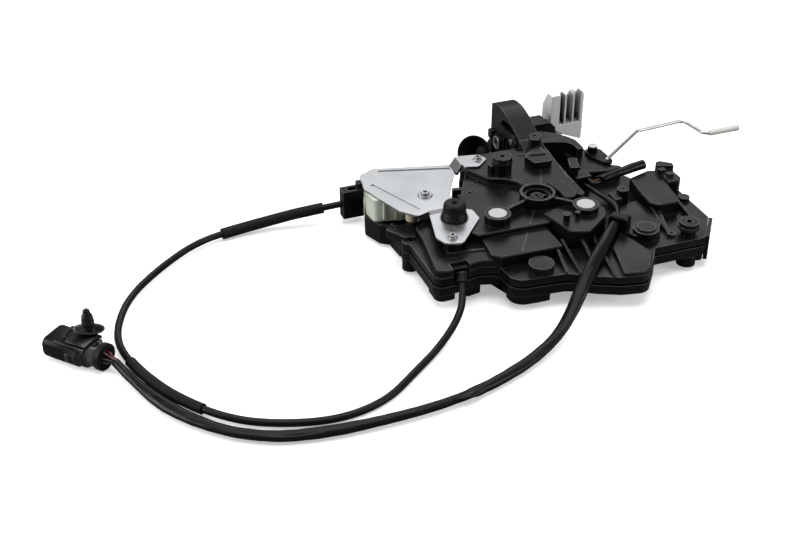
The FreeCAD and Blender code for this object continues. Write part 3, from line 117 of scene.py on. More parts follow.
def make_piece(name, points, faces, material, body="housing"):
    """Smooth mesh object from an array of points and a list of faces, riding on a body."""
    mesh = bpy.data.meshes.new(name)
    mesh.from_pydata(np.asarray(points, float).tolist(), [], [list(face) for face in faces])
    mesh.polygons.foreach_set("use_smooth", np.ones(len(mesh.polygons), bool))
    mesh.materials.append(material)
    mesh.update()
    piece = bpy.data.objects.new(name, mesh)
    bpy.context.scene.collection.objects.link(piece)
    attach(piece, body)
    return piece


def outward(piece):
    """Merge doubles and make the faces point outwards."""
    work = bmesh.new()
    work.from_mesh(piece.data)
    bmesh.ops.remove_doubles(work, verts=work.verts, dist=1e-6)
    bmesh.ops.recalc_face_normals(work, faces=work.faces)
    work.to_mesh(piece.data)
    work.free()
    return piece


def skin(name, rings, material, body="housing"):
    """Closed skin over a stack of rings (rows, columns, 3), with a flat cap at each end."""
    rows, columns = rings.shape[:2]
    faces = grid_faces(rows, columns).tolist()
    faces.append(list(range(columns))[::-1])
    faces.append(list(range((rows - 1) * columns, rows * columns)))
    return outward(make_piece(name, rings.reshape(-1, 3), faces, material, body))


# %% [markdown]
# A piece along a cable needs a direction at each point of the line. The cables here run
# nearly level, so the side direction is the tangent crossed with the vertical, and the third
# direction follows. Nothing has to be carried from point to point.

# %% Rings round a line
def angles_round(columns):
    """Equal steps of angle once round, without the last one, which would meet the first."""
    return np.linspace(0.0, 2 * np.pi, columns, endpoint=False)


def even_line(line, count):
    """The line through the points, resampled at equal steps along its length, and the distance
    of each new point from the start."""
    step = np.linalg.norm(np.diff(line, axis=0), axis=1)
    along = np.concatenate([[0.0], np.cumsum(step)])
    target = np.linspace(0.0, along[-1], count)
    return np.stack([np.interp(target, along, line[:, k]) for k in range(3)], axis=1), target


def rings_round(line, radius, columns):
    """Circles round a line: centre plus radius times (side cos a plus rise sin a). The radius
    is one number, or a grid that changes with place and angle."""
    heading = np.gradient(line, axis=0)
    heading /= np.linalg.norm(heading, axis=1, keepdims=True)
    side = np.cross(heading, [0.0, 0.0, 1.0])
    side /= np.linalg.norm(side, axis=1, keepdims=True)
    rise = np.cross(side, heading)
    angle = angles_round(columns)
    reach = np.broadcast_to(radius, (len(line), columns))
    return (line[:, None, :]
            + reach[..., None] * (side[:, None, :] * np.cos(angle)[:, None]
                                  + rise[:, None, :] * np.sin(angle)[:, None]))


# %% [markdown]
# ## A short way to write shader maths
#
# Materials here are networks of small nodes. Wrapping a socket in a class with `+`, `*` and
# `-` lets a mask be written as an ordinary expression, and each operator adds its own Math
# node. The same network could be joined by hand in the shader editor, but an expression is
# shorter and shows what it works out.

# %% Shader expressions
MASK_SAMPLES = 4


class Signal:
    """What comes out of a node, in the material that is being built."""

    def __init__(self, paint, socket):
        self.paint = paint
        self.socket = socket

    def math(self, operation, *others):
        """A Math node on this number and the others."""
        return self.paint.node("ShaderNodeMath", {"operation": operation}, [self, *others])

    def __add__(self, other):
        return self.math("ADD", other)

    __radd__ = __add__

    def __mul__(self, other):
        return self.math("MULTIPLY", other)

    __rmul__ = __mul__

    def __sub__(self, other):
        return self.math("SUBTRACT", other)

    def __rsub__(self, other):
        return self.paint.node("ShaderNodeMath", {"operation": "SUBTRACT"}, [other, self])


class Paint:
    """One material under construction, with its Principled shader."""

    def __init__(self, name, **fixed):
        self.material = bpy.data.materials.new(name)
        self.material.use_nodes = True
        self.tree = self.material.node_tree
        self.shader = self.tree.nodes["Principled BSDF"]
        self.place = self.node("ShaderNodeTexCoord", {}, [], "Object")
        for socket, value in fixed.items():
            self.shader.inputs[socket.replace("_", " ")].default_value = value

    def node(self, kind, settings, inputs, output=0):
        """Add a node: its settings first, then a value or a link for each socket."""
        made = self.tree.nodes.new(kind)
        for key, value in settings.items():
            setattr(made, key, value)
        pairs = inputs.items() if isinstance(inputs, dict) else enumerate(inputs)
        for key, value in pairs:
            if isinstance(value, Signal):
                self.tree.links.new(value.socket, made.inputs[key])
            elif value is not None:
                made.inputs[key].default_value = value
        return Signal(self, made.outputs[output])

    def noise(self, scale, detail, stretch=None, rough=0.5):
        """Noise on the object's own place, in cells per metre, stretched along an axis."""
        where = self.place
        if stretch is not None:
            where = self.node("ShaderNodeMapping", {}, {"Vector": where, "Scale": stretch})
        return self.node("ShaderNodeTexNoise", {}, {
            "Vector": where, "Scale": scale, "Detail": detail, "Roughness": rough})

    def spread(self, value, low, high, start=0.3, end=0.7):
        """The value mapped from start..end to low..high."""
        return self.node("ShaderNodeMapRange", {"clamp": True}, {
            "Value": value, "From Min": start, "From Max": end, "To Min": low, "To Max": high})

    def mix(self, factor, first, second, blend="MIX"):
        """Colour between two colours by a factor, or their product."""
        made = self.tree.nodes.new("ShaderNodeMix")
        made.data_type = "RGBA"
        made.blend_type = blend
        for key, value in ((0, factor), (6, first), (7, second)):
            if isinstance(value, Signal):
                self.tree.links.new(value.socket, made.inputs[key])
            else:
                made.inputs[key].default_value = value if key == 0 else (*value, 1.0)
        return Signal(self, made.outputs[2])

    def rounded(self, radius):
        """Normal of the surface as if its edges had this radius, in metres."""
        return self.node("ShaderNodeBevel", {"samples": MASK_SAMPLES}, {"Radius": radius})

    def edge(self, radius, low, high):
        """Mask that is 1 where an edge of that radius runs, and 0 on open faces."""
        true = self.node("ShaderNodeNewGeometry", {}, [], "True Normal")
        alike = self.node("ShaderNodeVectorMath", {"operation": "DOT_PRODUCT"},
                          [self.rounded(radius), true], "Value")
        return self.spread(1.0 - alike, 0.0, 1.0, low, high)

    def open_sky(self, reach, low, high):
        """Mask that is 0 deep in a groove or slot and 1 where nothing stands within reach."""
        free = self.node("ShaderNodeAmbientOcclusion", {"samples": MASK_SAMPLES},
                         {"Distance": reach}, "AO")
        return self.spread(free, 0.0, 1.0, low, high)

    def bump(self, height, distance, strength, normal=None):
        """Normal that follows a height, on top of another normal where one is given."""
        return self.node("ShaderNodeBump", {}, {
            "Height": height, "Distance": distance, "Strength": strength, "Normal": normal})

    def set(self, **links):
        """Join signals to the shader's sockets."""
        for socket, value in links.items():
            self.tree.links.new(value.socket, self.shader.inputs[socket.replace("_", " ")])
        return self


# %% [markdown]
# ## Moulded black plastic
#
# The housing is glass-filled nylon. It is nearly black with a satin surface: a fine grain
# from the mould, slow changes of gloss from how the melt flowed, and edges with a thin gloss
# coat and a painted highlight, a lighter base colour. The grain is noise at about half a
# millimetre, and the edge comes from comparing the true normal with a rounded one. The CAD
# edges are sharp, so the rounded normal also takes their place: bevelling the mesh itself
# would cost far more faces. A second mask keeps that painted highlight out of grooves, where a
# real edge gets no light. The white caps, the beige roller and the pale ferrule are moulded
# too, so they differ only in their values.

# %% Moulded plastics
def moulded(name, dark, light, gloss, shine, grain=2200.0, depth=0.00003, edge_light=0.09):
    """Satin moulded plastic: base colour by slow noise, edges with a painted highlight in the base
    colour and a thin gloss coat, fine grain in bump."""
    paint = Paint(name, Specular_IOR_Level=shine, Coat_Roughness=0.16, Coat_IOR=1.6)
    flow = paint.noise(38.0, detail=4.0)
    fine = paint.noise(grain, detail=2.0)
    edge = (paint.edge(radius=0.0009, low=0.012, high=0.15)
            * paint.open_sky(reach=0.0015, low=0.70, high=0.85))
    base = paint.mix(paint.spread(flow, 0.0, 1.0), dark, light)
    # painted highlight: the base colour is made lighter along open edges
    painted_highlight = tuple(min(1.0, c + edge_light) for c in light)
    base = paint.mix(edge * 0.8, base, painted_highlight)
    rough = paint.spread(flow, gloss - 0.05, gloss + 0.07) + fine * 0.08 - edge * 0.10
    normal = paint.bump(fine, depth, strength=0.6, normal=paint.rounded(0.0008))
    return paint.set(Base_Color=base, Roughness=rough, Coat_Weight=edge * 0.9, Normal=normal).material


housing_black = moulded("housing_black", (0.0020, 0.0020, 0.0022), (0.0042, 0.0042, 0.0045),
                        gloss=0.31, shine=0.19)
fitting_black = moulded("fitting_black", (0.0015, 0.0015, 0.0018), (0.0030, 0.0030, 0.0033),
                        gloss=0.38, shine=0.16)
plug_black = moulded("plug_black", (0.0016, 0.0016, 0.0018), (0.0034, 0.0034, 0.0038),
                     gloss=0.34, shine=0.15, grain=1500.0)
cap_white = moulded("cap_white", (0.37, 0.38, 0.38), (0.43, 0.44, 0.44),
                    gloss=0.36, shine=0.5, grain=1800.0, depth=0.00002, edge_light=0.04)
roller_beige = moulded("roller_beige", (0.48, 0.42, 0.29), (0.60, 0.54, 0.39), gloss=0.36, shine=0.5)
ferrule_pale = moulded("ferrule_pale", (0.45, 0.44, 0.42), (0.60, 0.59, 0.56),
                       gloss=0.42, shine=0.5, grain=900.0)
print("materials in the file after the plastics:", len(bpy.data.materials))

# %% [markdown]
# ## Milky nylon
#
# The cable unit is unfilled nylon: light goes into it and comes out again, so its thin walls
# glow and its shadows are soft and a little green. Plain white paint would look like chalk.
# Subsurface scattering gives the glow, with a radius of a few millimetres.

# %% Nylon
NYLON_DEPTH = 0.004


def milky_nylon():
    """Nylon with scattering inside and a slow cloudiness in its colour."""
    paint = Paint("milky_nylon", Subsurface_Weight=0.55, Subsurface_Scale=NYLON_DEPTH, IOR=1.53)
    paint.shader.inputs["Subsurface Radius"].default_value = (1.0, 1.0, 0.7)
    cloud = paint.noise(70.0, detail=3.0)
    fine = paint.noise(1600.0, detail=2.0)
    base = paint.mix(paint.spread(cloud, 0.0, 1.0), (0.50, 0.55, 0.46), (0.62, 0.67, 0.58))
    rough = paint.spread(cloud, 0.26, 0.38) + fine * 0.06
    return paint.set(Base_Color=base, Roughness=rough,
                     Normal=paint.bump(fine, 0.00002, strength=0.5, normal=paint.rounded(0.0006))).material


nylon = milky_nylon()
print("nylon lets light in by", NYLON_DEPTH, "metres")

# %% [markdown]
# ## Metals
#
# Zinc-coated sheet has crystals a few millimetres across, each a little brighter or duller
# than its neighbour, and rolling lines along the strip. Cast zinc is duller and has the
# orange-peel skin of the die. Turned and drawn steel has fine lines along its length. On a
# white table clean metal reflects only white, so the changes of gloss are what shows its form.
# On the sheet and the cast zinc, edges get a painted highlight, a lighter base colour, and
# slots a painted shade, a darker base colour where little light gets in.

# %% Metals
def galvanised():
    """Zinc crystals by Voronoi cells, rolling lines by stretched noise, a painted highlight
    on edges and painted shade in slots and grooves.
    """
    paint = Paint("galvanised_sheet", Metallic=1.0)
    crystal = paint.node("ShaderNodeTexVoronoi", {}, {"Vector": paint.place, "Scale": 210.0}, "Color")
    shade = paint.node("ShaderNodeRGBToBW", {}, [crystal])
    roll = paint.noise(260.0, detail=4.0, stretch=(1.0, 12.0, 1.0))
    smear = paint.noise(30.0, detail=3.0)
    edge = paint.edge(radius=0.0005, low=0.02, high=0.2)
    base = paint.mix(paint.spread(smear + shade * 0.25, 0.0, 1.0, start=0.35, end=0.95),
                     (0.34, 0.35, 0.36), (0.46, 0.47, 0.48))
    # painted highlight: edges get a lighter base colour
    base = paint.mix(edge * 0.6, base, (0.66, 0.67, 0.68))
    # painted shade: the base colour goes dark in slots and grooves, where little light gets in
    base = paint.mix(paint.open_sky(reach=0.0018, low=0.55, high=0.85), (0.11, 0.11, 0.12), base)
    rough = paint.spread(shade, 0.27, 0.36, start=0.0, end=1.0) + roll * 0.10
    return paint.set(Base_Color=base, Roughness=rough,
                     Normal=paint.bump(roll, 0.00001, strength=0.5, normal=paint.rounded(0.0004))).material


def cast(name, dark, light, gloss, peel=0.00008):
    """Die-cast metal: dull, with an uneven skin, a painted highlight on edges and painted
    shade in hollows.
    """
    paint = Paint(name, Metallic=0.40, Specular_IOR_Level=0.8)
    skin_noise = paint.noise(420.0, detail=5.0, rough=0.6)
    stain = paint.noise(60.0, detail=4.0)
    edge = paint.edge(radius=0.0007, low=0.015, high=0.2)
    base = paint.mix(paint.spread(stain, 0.0, 1.0), dark, light)
    # painted highlight: edges get a nearly white base colour
    base = paint.mix(edge * 0.7, base, (0.90, 0.90, 0.90))
    # painted shade: the base colour goes dark grey-green in hollows and slots within 8 mm of other surfaces
    base = paint.mix(paint.open_sky(reach=0.008, low=0.25, high=0.75), (0.030, 0.036, 0.034), base)
    rough = paint.spread(skin_noise, gloss - 0.06, gloss + 0.08) - edge * 0.08
    return paint.set(Base_Color=base, Roughness=rough,
                     Normal=paint.bump(skin_noise, peel, strength=0.7, normal=paint.rounded(0.0006))).material


def drawn(name, dark, light, gloss):
    """Drawn or turned metal: noise stretched into fine lines along one axis."""
    paint = Paint(name, Metallic=1.0)
    lines = paint.noise(300.0, detail=3.0, stretch=(1.0, 20.0, 20.0))
    stain = paint.noise(90.0, detail=3.0)
    base = paint.mix(paint.spread(stain, 0.0, 1.0), dark, light)
    rough = paint.spread(lines, gloss - 0.05, gloss + 0.08)
    return paint.set(Base_Color=base, Roughness=rough,
                     Normal=paint.bump(lines, 0.00001, strength=0.4, normal=paint.rounded(0.0003))).material


zinc_sheet = galvanised()
zinc_cast = cast("zinc_cast", (0.74, 0.76, 0.75), (0.88, 0.90, 0.89), gloss=0.34)
motor_case = cast("motor_case", (0.50, 0.50, 0.49), (0.60, 0.60, 0.59), gloss=0.34, peel=0.00002)
bright_steel = drawn("bright_steel", (0.36, 0.36, 0.36), (0.50, 0.50, 0.51), gloss=0.26)
plated_steel = drawn("plated_steel", (0.48, 0.49, 0.49), (0.62, 0.63, 0.63), gloss=0.36)
black_steel = drawn("black_steel", (0.012, 0.012, 0.013), (0.028, 0.028, 0.030), gloss=0.42)
turned_brass = drawn("turned_brass", (0.62, 0.45, 0.20), (0.76, 0.58, 0.30), gloss=0.30)
print("materials in the file after the metals:", len(bpy.data.materials))

# %% [markdown]
# ## Rubber, vinyl and foam
#
# Three soft blacks that must not look alike: the buffer is matt rubber with a dusty bloom,
# the sleeves over the wires are soft vinyl with a shine along their folds, and the sleeves on
# the cable are ribbed foam, dull between the ribs. One function makes them all, because they
# differ only in colour, gloss, grain and how much they glow at a low angle.

# %% Soft blacks
def soft_black(name, dark, light, gloss, grain, depth, sheen=0.0):
    """Black rubber, vinyl or foam: bloom in the colour, grain in the bump."""
    paint = Paint(name, Sheen_Weight=sheen, Sheen_Roughness=0.5, Specular_IOR_Level=0.17)
    bloom = paint.noise(85.0, detail=5.0)
    fine = paint.noise(grain, detail=3.0)
    base = paint.mix(paint.spread(bloom, 0.0, 1.0), dark, light)
    rough = paint.spread(bloom, gloss - 0.06, gloss + 0.08) + fine * 0.08
    return paint.set(Base_Color=base, Roughness=rough,
                     Normal=paint.bump(fine, depth, strength=0.7)).material


matt_rubber = soft_black("matt_rubber", (0.0014, 0.0014, 0.0017), (0.0034, 0.0034, 0.0037),
                         gloss=0.46, grain=1400.0, depth=0.00005, sheen=0.04)
vinyl = soft_black("vinyl_sleeve", (0.003, 0.003, 0.0035), (0.006, 0.006, 0.0065),
                   gloss=0.30, grain=700.0, depth=0.00006)
conduit = soft_black("conduit", (0.004, 0.004, 0.0045), (0.007, 0.007, 0.0075),
                     gloss=0.32, grain=1800.0, depth=0.00001)
foam = soft_black("ribbed_foam", (0.0025, 0.0025, 0.0028), (0.006, 0.006, 0.0063),
                  gloss=0.50, grain=1100.0, depth=0.00006, sheen=0.03)
print("materials in the file after the soft blacks:", len(bpy.data.materials))

# %% [markdown]
# ## Wires and the circuit board
#
# Each wire has its own colour, kept on the mesh's points, so one material serves them all.
# The board is out of sight but gets its green coat, with darker tracks from square cells.

# %% Wires and board
def wire_plastic():
    """Insulation whose colour is read from the mesh, times a shade that changes slightly."""
    paint = Paint("wire_plastic")
    tint = paint.node("ShaderNodeAttribute", {"attribute_name": "tint"}, [], "Color")
    wear = paint.noise(500.0, detail=2.0)
    shade = paint.mix(paint.spread(wear, 0.0, 1.0), (0.82, 0.82, 0.82), (1.0, 1.0, 1.0))
    return paint.set(Base_Color=paint.mix(1.0, tint, shade, blend="MULTIPLY"),
                     Roughness=paint.spread(wear, 0.30, 0.42)).material


def board_coat():
    """Green solder coat with darker tracks."""
    paint = Paint("board_coat", Coat_Weight=0.4)
    track = paint.node("ShaderNodeTexVoronoi", {"distance": "CHEBYCHEV"},
                       {"Vector": paint.place, "Scale": 260.0})
    base = paint.mix(paint.spread(track, 0.0, 1.0, start=0.2, end=0.3),
                     (0.02, 0.14, 0.06), (0.04, 0.22, 0.09))
    rough = paint.spread(track, 0.30, 0.40, start=0.0, end=1.0)
    return paint.set(Base_Color=base, Roughness=rough).material


insulation = wire_plastic()
green_board = board_coat()
print("materials in the file after the wires and the board:", len(bpy.data.materials))

# %% [markdown]
# ## Finishes on the CAD parts
#
# Most parts have the right shape already, so they only need their finish. One table says
# which part takes which. Parts that are made again further down get theirs as well, in case a
# reader leaves one of those steps out.

# %% Give every part its finish
finishes = {
    housing_black: ["lower_shell", "upper_cover", "latch_housing", "roller_post"],
    fitting_black: ["key_tumbler", "cable_end_block", "cable_gland", "harness_clip",
                    "fir_tree_clip", "microswitches", "board_posts"],
    plug_black: ["connector_body"],
    cap_white: ["sight_caps", "worm_wheel"],
    nylon: ["cable_unit"],
    roller_beige: ["cable_roller"],
    ferrule_pale: ["rod_ferrule"],
    zinc_sheet: ["support_bracket", "bracket_screw_large", "bracket_screws", "inner_lever"],
    zinc_cast: ["outside_lever"],
    motor_case: ["lock_motor"],
    bright_steel: ["claw_pin", "pawl_pin", "pawl_spring", "outside_lever_pin",
                   "outside_lever_spring", "lock_lever_pin", "inner_lever_pin", "motor_shaft",
                   "wheel_pin", "housing_screws"],
    plated_steel: ["fixing_bushes", "lock_rod"],
    black_steel: ["latch_plate", "claw", "pawl", "lock_lever"],
    turned_brass: ["worm", "connector_pins"],
    matt_rubber: ["rubber_buffer", "striker_buffer", "connector_seal"],
    vinyl: ["harness_sleeve", "short_sleeve", "wire_bundle", "guide_funnel"],
    conduit: ["bowden_cable"],
    foam: ["foam_sleeve_1", "foam_sleeve_2"],
    insulation: ["connector_wires", "short_sleeve_wires"],
    green_board: ["circuit_board"],
}
for material, names in finishes.items():
    for name in names:
        nodes[name].data.materials.clear()
        nodes[name].data.materials.append(material)
print("parts with a finish:", sum(len(names) for names in finishes.values()))

# %% [markdown]
# ## The inner release cable
#
# A Bowden cable is a steel rope in a springy plastic conduit. It leaves the block at the left
# end, lies on the table in one wide loop and comes back into the front wall. It can't be bent
# sharply, so its line is a smooth spline with the drawing's points as its control points. It
# stays round all along, so Blender's own bevelled curve is enough for it.

# %% Cable line
LYING_Z = 4.6
CABLE_ROUTE = [
    (-112.0, 96.0, 16.0), (-150.0, 99.5, 13.0), (-168.0, 104.0, 8.5), (-192.0, 106.0, 5.0),
    (-228.0, 99.5, LYING_Z), (-262.0, 73.5, LYING_Z), (-289.0, 45.0, LYING_Z),
    (-303.0, 14.0, LYING_Z), (-306.5, -12.0, LYING_Z), (-298.0, -44.0, LYING_Z),
    (-282.0, -77.0, LYING_Z), (-256.0, -108.0, LYING_Z), (-226.0, -122.0, 3.4),
    (-192.0, -128.5, 2.6), (-160.0, -121.0, 2.6), (-134.0, -100.5, 2.6),
    (-111.0, -83.0, 3.2), (-91.0, -65.0, 7.0), (-79.6, -50.6, 13.6), (-75.6, -36.4, 24.6),
]
CABLE_DIAMETER = 5.0 * MM


def spline(name, route):
    """Smooth curve whose control points are the route's points."""
    curve = bpy.data.curves.new(name, "CURVE")
    curve.dimensions = "3D"
    curve.resolution_u = 16
    line = curve.splines.new("NURBS")
    line.points.add(len(route) - 1)
    line.points.foreach_set("co", np.column_stack([placed(route), np.ones(len(route))]).ravel())
    line.order_u = 3
    line.use_endpoint_u = True
    made = bpy.data.objects.new(name, curve)
    bpy.context.scene.collection.objects.link(made)
    return made


def points_of(curve_object):
    """Points along a curve that has no thickness yet."""
    mesh = bpy.data.meshes.new_from_object(curve_object)
    flat = np.empty(len(mesh.vertices) * 3)
    mesh.vertices.foreach_get("co", flat)
    bpy.data.meshes.remove(mesh)
    return flat.reshape(-1, 3)


def length_of(line):
    """Sum of the distances from each point to the next."""
    return float(np.linalg.norm(np.diff(line, axis=0), axis=1).sum())


cable = spline("release_cable", CABLE_ROUTE)
cable_line = points_of(cable)
cable.data.bevel_depth = CABLE_DIAMETER / 2
cable.data.bevel_resolution = 5
cable.data.use_fill_caps = True
cable.data.materials.append(conduit)
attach(cable, "housing")
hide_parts("bowden_cable")
print("cable length in metres:", round(length_of(cable_line), 4))

# %% [markdown]
# Two foam sleeves keep the cable from rattling on the door. Each is a split tube with fine
# ribs round it and a smooth band where it was split. Its ends are open, so the wall turns in
# and a dark gap shows round the cable. The ribs are real ridges, because a pattern of light
# and dark alone would leave the outline straight.

# %% Foam sleeves
TURNS_IN = 3.0 * MM
SLANT_FADES = 10.0 * MM
RIB_PITCH = 1.35 * MM
RIB_DEPTH = 0.30
SPLIT_FLAT = 0.35
FOAM_BORE = 2.7 * MM


def part_of(line, start, end):
    """The stretch of a line between the points nearest to two marks."""
    first = np.argmin(np.linalg.norm(line - placed(start), axis=1))
    last = np.argmin(np.linalg.norm(line - placed(end), axis=1))
    return line[first:last + 1]


def open_tube(name, line, reach, inner, material, slant=0.0):
    """Skin round a line with open ends: the wall turns in to the inner radius and goes a little
    way back. A slant moves the first end along the line by the slant times cos of the angle,
    and fades out from ring to ring."""
    columns = reach.shape[1]
    step = np.linalg.norm(line[1] - line[0])
    hollow = rings_round(line, inner, columns)
    inside = max(1, int(TURNS_IN / step))
    rings = np.concatenate([hollow[[inside, 0]], rings_round(line, reach, columns),
                            hollow[[-1, -1 - inside]]])
    fade = np.clip(1.0 - np.arange(len(rings)) * step / SLANT_FADES, 0.0, 1.0)
    heading = (line[1] - line[0]) / step
    rings = rings + slant * fade[:, None, None] * np.cos(angles_round(columns))[None, :, None] * heading
    return skin(name, rings, material)


def foam_sleeve(name, start, end, node, radius, band_at):
    """Split tube: the radius less the ribs' depth times a wave along the tube, except in the
    smooth band, and less a wide flat along the band. The band is where the cos of the angle
    from its middle is high."""
    line, along = even_line(part_of(cable_line, start, end), 520)
    wave = 0.5 - 0.5 * np.cos(2 * np.pi * along / RIB_PITCH)
    facing = np.cos(angles_round(32) - band_at)
    band = np.clip((facing - 0.72) / 0.12, 0.0, 1.0)
    dip = RIB_DEPTH * wave[:, None] * (1.0 - band) + SPLIT_FLAT * np.clip(facing, 0.0, 1.0) ** 6
    piece = open_tube(name, line, radius - dip * MM, FOAM_BORE, foam)
    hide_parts(node)
    return piece


foam_back = foam_sleeve("foam_sleeve_back", (-131.0, 97.8, 14.5), (-210.0, 102.8, 4.8),
                        "foam_sleeve_1", radius=4.3 * MM, band_at=2.6)
foam_front = foam_sleeve("foam_sleeve_front", (-302.2, -28.0, 4.6), (-269.0, -92.5, 4.6),
                         "foam_sleeve_2", radius=3.7 * MM, band_at=2.2)
print("faces of the two foam sleeves:", len(foam_back.data.polygons) + len(foam_front.data.polygons))

# %% [markdown]
# ## The wiring sleeve
#
# The wires to the door run in a soft vinyl tube. It starts at a clip on the cover, falls over
# the edge and lies on the table in a wide curve. The tube is larger than its wires, so it is
# flattened, its flat side turns slowly along it, and one sharp fold shows where it was bent.
# A table of stations gives the half widths and the turn, and smooth steps join them. A cloth
# simulation could crease a tube too, but it would never put the fold where the picture has it.

# %% Wiring sleeve
SLEEVE_ROUTE = [
    (43.0, -30.5, 35.0), (0.0, -75.0, 31.8), (-26.0, -96.5, 7.0), (-62.0, -119.5, LYING_Z),
    (-112.0, -137.5, LYING_Z), (-170.0, -141.5, LYING_Z), (-226.0, -137.0, LYING_Z),
    (-260.0, -119.5, LYING_Z), (-285.6, -90.4, LYING_Z), (-302.2, -56.2, LYING_Z),
    (-311.6, -30.7, 8.0),
]
SLEEVE_BORE = 2.3 * MM
SLEEVE_SECTIONS = np.array([
    # distance, half width, half height, turn of the flat side in degrees
    (0.0, 3.5, 3.2, 0.0), (12.0, 4.2, 3.0, 10.0), (45.0, 4.6, 2.8, 24.0), (75.0, 4.7, 2.6, 8.0),
    (110.0, 4.3, 2.9, -14.0), (150.0, 4.1, 2.9, 6.0), (184.0, 3.6, 3.1, 20.0),
    (197.0, 4.9, 2.1, -16.0), (207.0, 3.2, 2.9, -8.0), (240.0, 3.3, 3.0, 0.0),
    (290.0, 3.9, 3.0, 18.0), (350.0, 4.2, 2.9, -10.0), (400.0, 4.4, 2.9, 16.0),
    (432.0, 3.2, 2.9, 0.0), (452.0, 2.9, 2.8, 0.0),
])
# each wave of the uneven skin: its length in mm and its lobes round the tube
UNEVEN_WAVES = ((13.0, 1), (24.0, 2), (41.0, 1))
UNEVEN_SHARE = 0.012
# how far a wave's phase wanders, and over how many of its own lengths
WANDER, WANDER_WAVES = 1.2, 5.1
# the fold's place, sway and width as angles, and the lengths over which it sways and comes back
FOLD_ANGLE, FOLD_SWAY, FOLD_WIDTH = 1.9, 0.5, 0.22
FOLD_SWAYS_OVER, FOLD_COMES_OVER = 95.0 * MM, 61.0 * MM


def between(along, marks, values):
    """Value between stations: each step follows t squared times (3 less 2 t)."""
    index = np.clip(np.searchsorted(marks, along, side="right") - 1, 0, len(marks) - 2)
    t = np.clip((along - marks[index]) / (marks[index + 1] - marks[index]), 0.0, 1.0)
    return values[index] + (values[index + 1] - values[index]) * t * t * (3.0 - 2.0 * t)


def flattened(along, sections, columns, fold_depth, seed):
    """Radius of a turning ellipse: wide times flat over the root of (flat cos) squared plus
    (wide sin) squared. A narrow valley that wanders along the tube makes the fold, and three
    long waves keep the vinyl uneven."""
    wide, flat, turn = (between(along / MM, sections[:, 0], sections[:, k]) for k in (1, 2, 3))
    angle = angles_round(columns)
    seen = angle - np.radians(turn)[:, None]
    radius = (wide * flat)[:, None] / np.hypot(flat[:, None] * np.cos(seen), wide[:, None] * np.sin(seen))
    rng = np.random.default_rng(seed)
    uneven = np.zeros_like(radius)
    for wave_mm, lobes in UNEVEN_WAVES:
        phase, swing = rng.uniform(0, 2 * np.pi, 2)
        wander = WANDER * np.sin(2 * np.pi * along / (wave_mm * WANDER_WAVES * MM) + swing)
        uneven += np.sin((2 * np.pi * along / (wave_mm * MM) + wander)[:, None] + lobes * angle + phase)
    valley_at = FOLD_ANGLE + FOLD_SWAY * np.sin(2 * np.pi * along / FOLD_SWAYS_OVER)
    valley = np.exp(-((angle - valley_at[:, None]) / FOLD_WIDTH) ** 2)
    presence = 0.5 + 0.5 * np.sin(2 * np.pi * along / FOLD_COMES_OVER + 1.0)
    return radius * MM * (1.0 + UNEVEN_SHARE * uneven - fold_depth * presence[:, None] * valley)


sleeve_curve = spline("sleeve_line", SLEEVE_ROUTE)
sleeve_line = points_of(sleeve_curve)
bpy.data.objects.remove(sleeve_curve)
line, along = even_line(sleeve_line, 900)
sleeve = open_tube("wiring_sleeve", line, flattened(along, SLEEVE_SECTIONS, 40, fold_depth=0.10, seed=3),
                   SLEEVE_BORE, vinyl)
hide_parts("harness_sleeve")
print("wiring sleeve length in metres:", round(length_of(sleeve_line), 4))

# %% [markdown]
# The short sleeve over the cover is the same vinyl, cut at a slant and pinched in its middle.
# It is made by the same two functions, with a table of its own.

# %% Short sleeve
SHORT_BORE = 2.9 * MM
SHORT_SLANT = 2.4 * MM
SHORT_SECTIONS = np.array([
    # distance, half width, half height, turn of the flat side in degrees
    (0.0, 4.1, 3.3, 10.0), (10.0, 3.8, 3.4, 25.0), (19.0, 3.3, 3.0, -20.0), (27.0, 3.9, 3.3, 10.0),
    (36.0, 3.7, 3.5, -5.0), (46.0, 3.8, 3.6, 0.0),
])


def arc(points, count):
    """Smooth line through a clamped quadratic spline: between the middles of neighbouring legs
    each piece is (1-t)^2 start + 2t(1-t) corner + t^2 end."""
    points = np.asarray(points, float)
    middles = np.concatenate([points[:1], (points[1:-2] + points[2:-1]) / 2, points[-1:]])
    t = np.linspace(0.0, 1.0, 24)[:, None]
    legs = [(1 - t) ** 2 * start + 2 * t * (1 - t) * corner + t ** 2 * end
            for start, corner, end in zip(middles[:-1], points[1:-1], middles[1:])]
    joined = np.concatenate([legs[0]] + [leg[1:] for leg in legs[1:]])
    return even_line(placed(joined), count)


line, along = arc([(59.0, 23.0, 39.8), (81.0, 29.5, 39.9), (101.5, 33.0, 40.0)], 220)
short_reach = flattened(along, SHORT_SECTIONS, 40, fold_depth=0.14, seed=8)
short_sleeve = open_tube("short_sleeve_folded", line, short_reach, SHORT_BORE, vinyl, slant=SHORT_SLANT)
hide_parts("short_sleeve")
print("short sleeve length in metres:", round(float(along[-1]), 4))

# %% [markdown]
# Between the clip and the short sleeve the wires are wrapped in tape. The wrap is narrow at
# both ends and flat in its middle. It is one skin with no bore, since no end of it is in view.

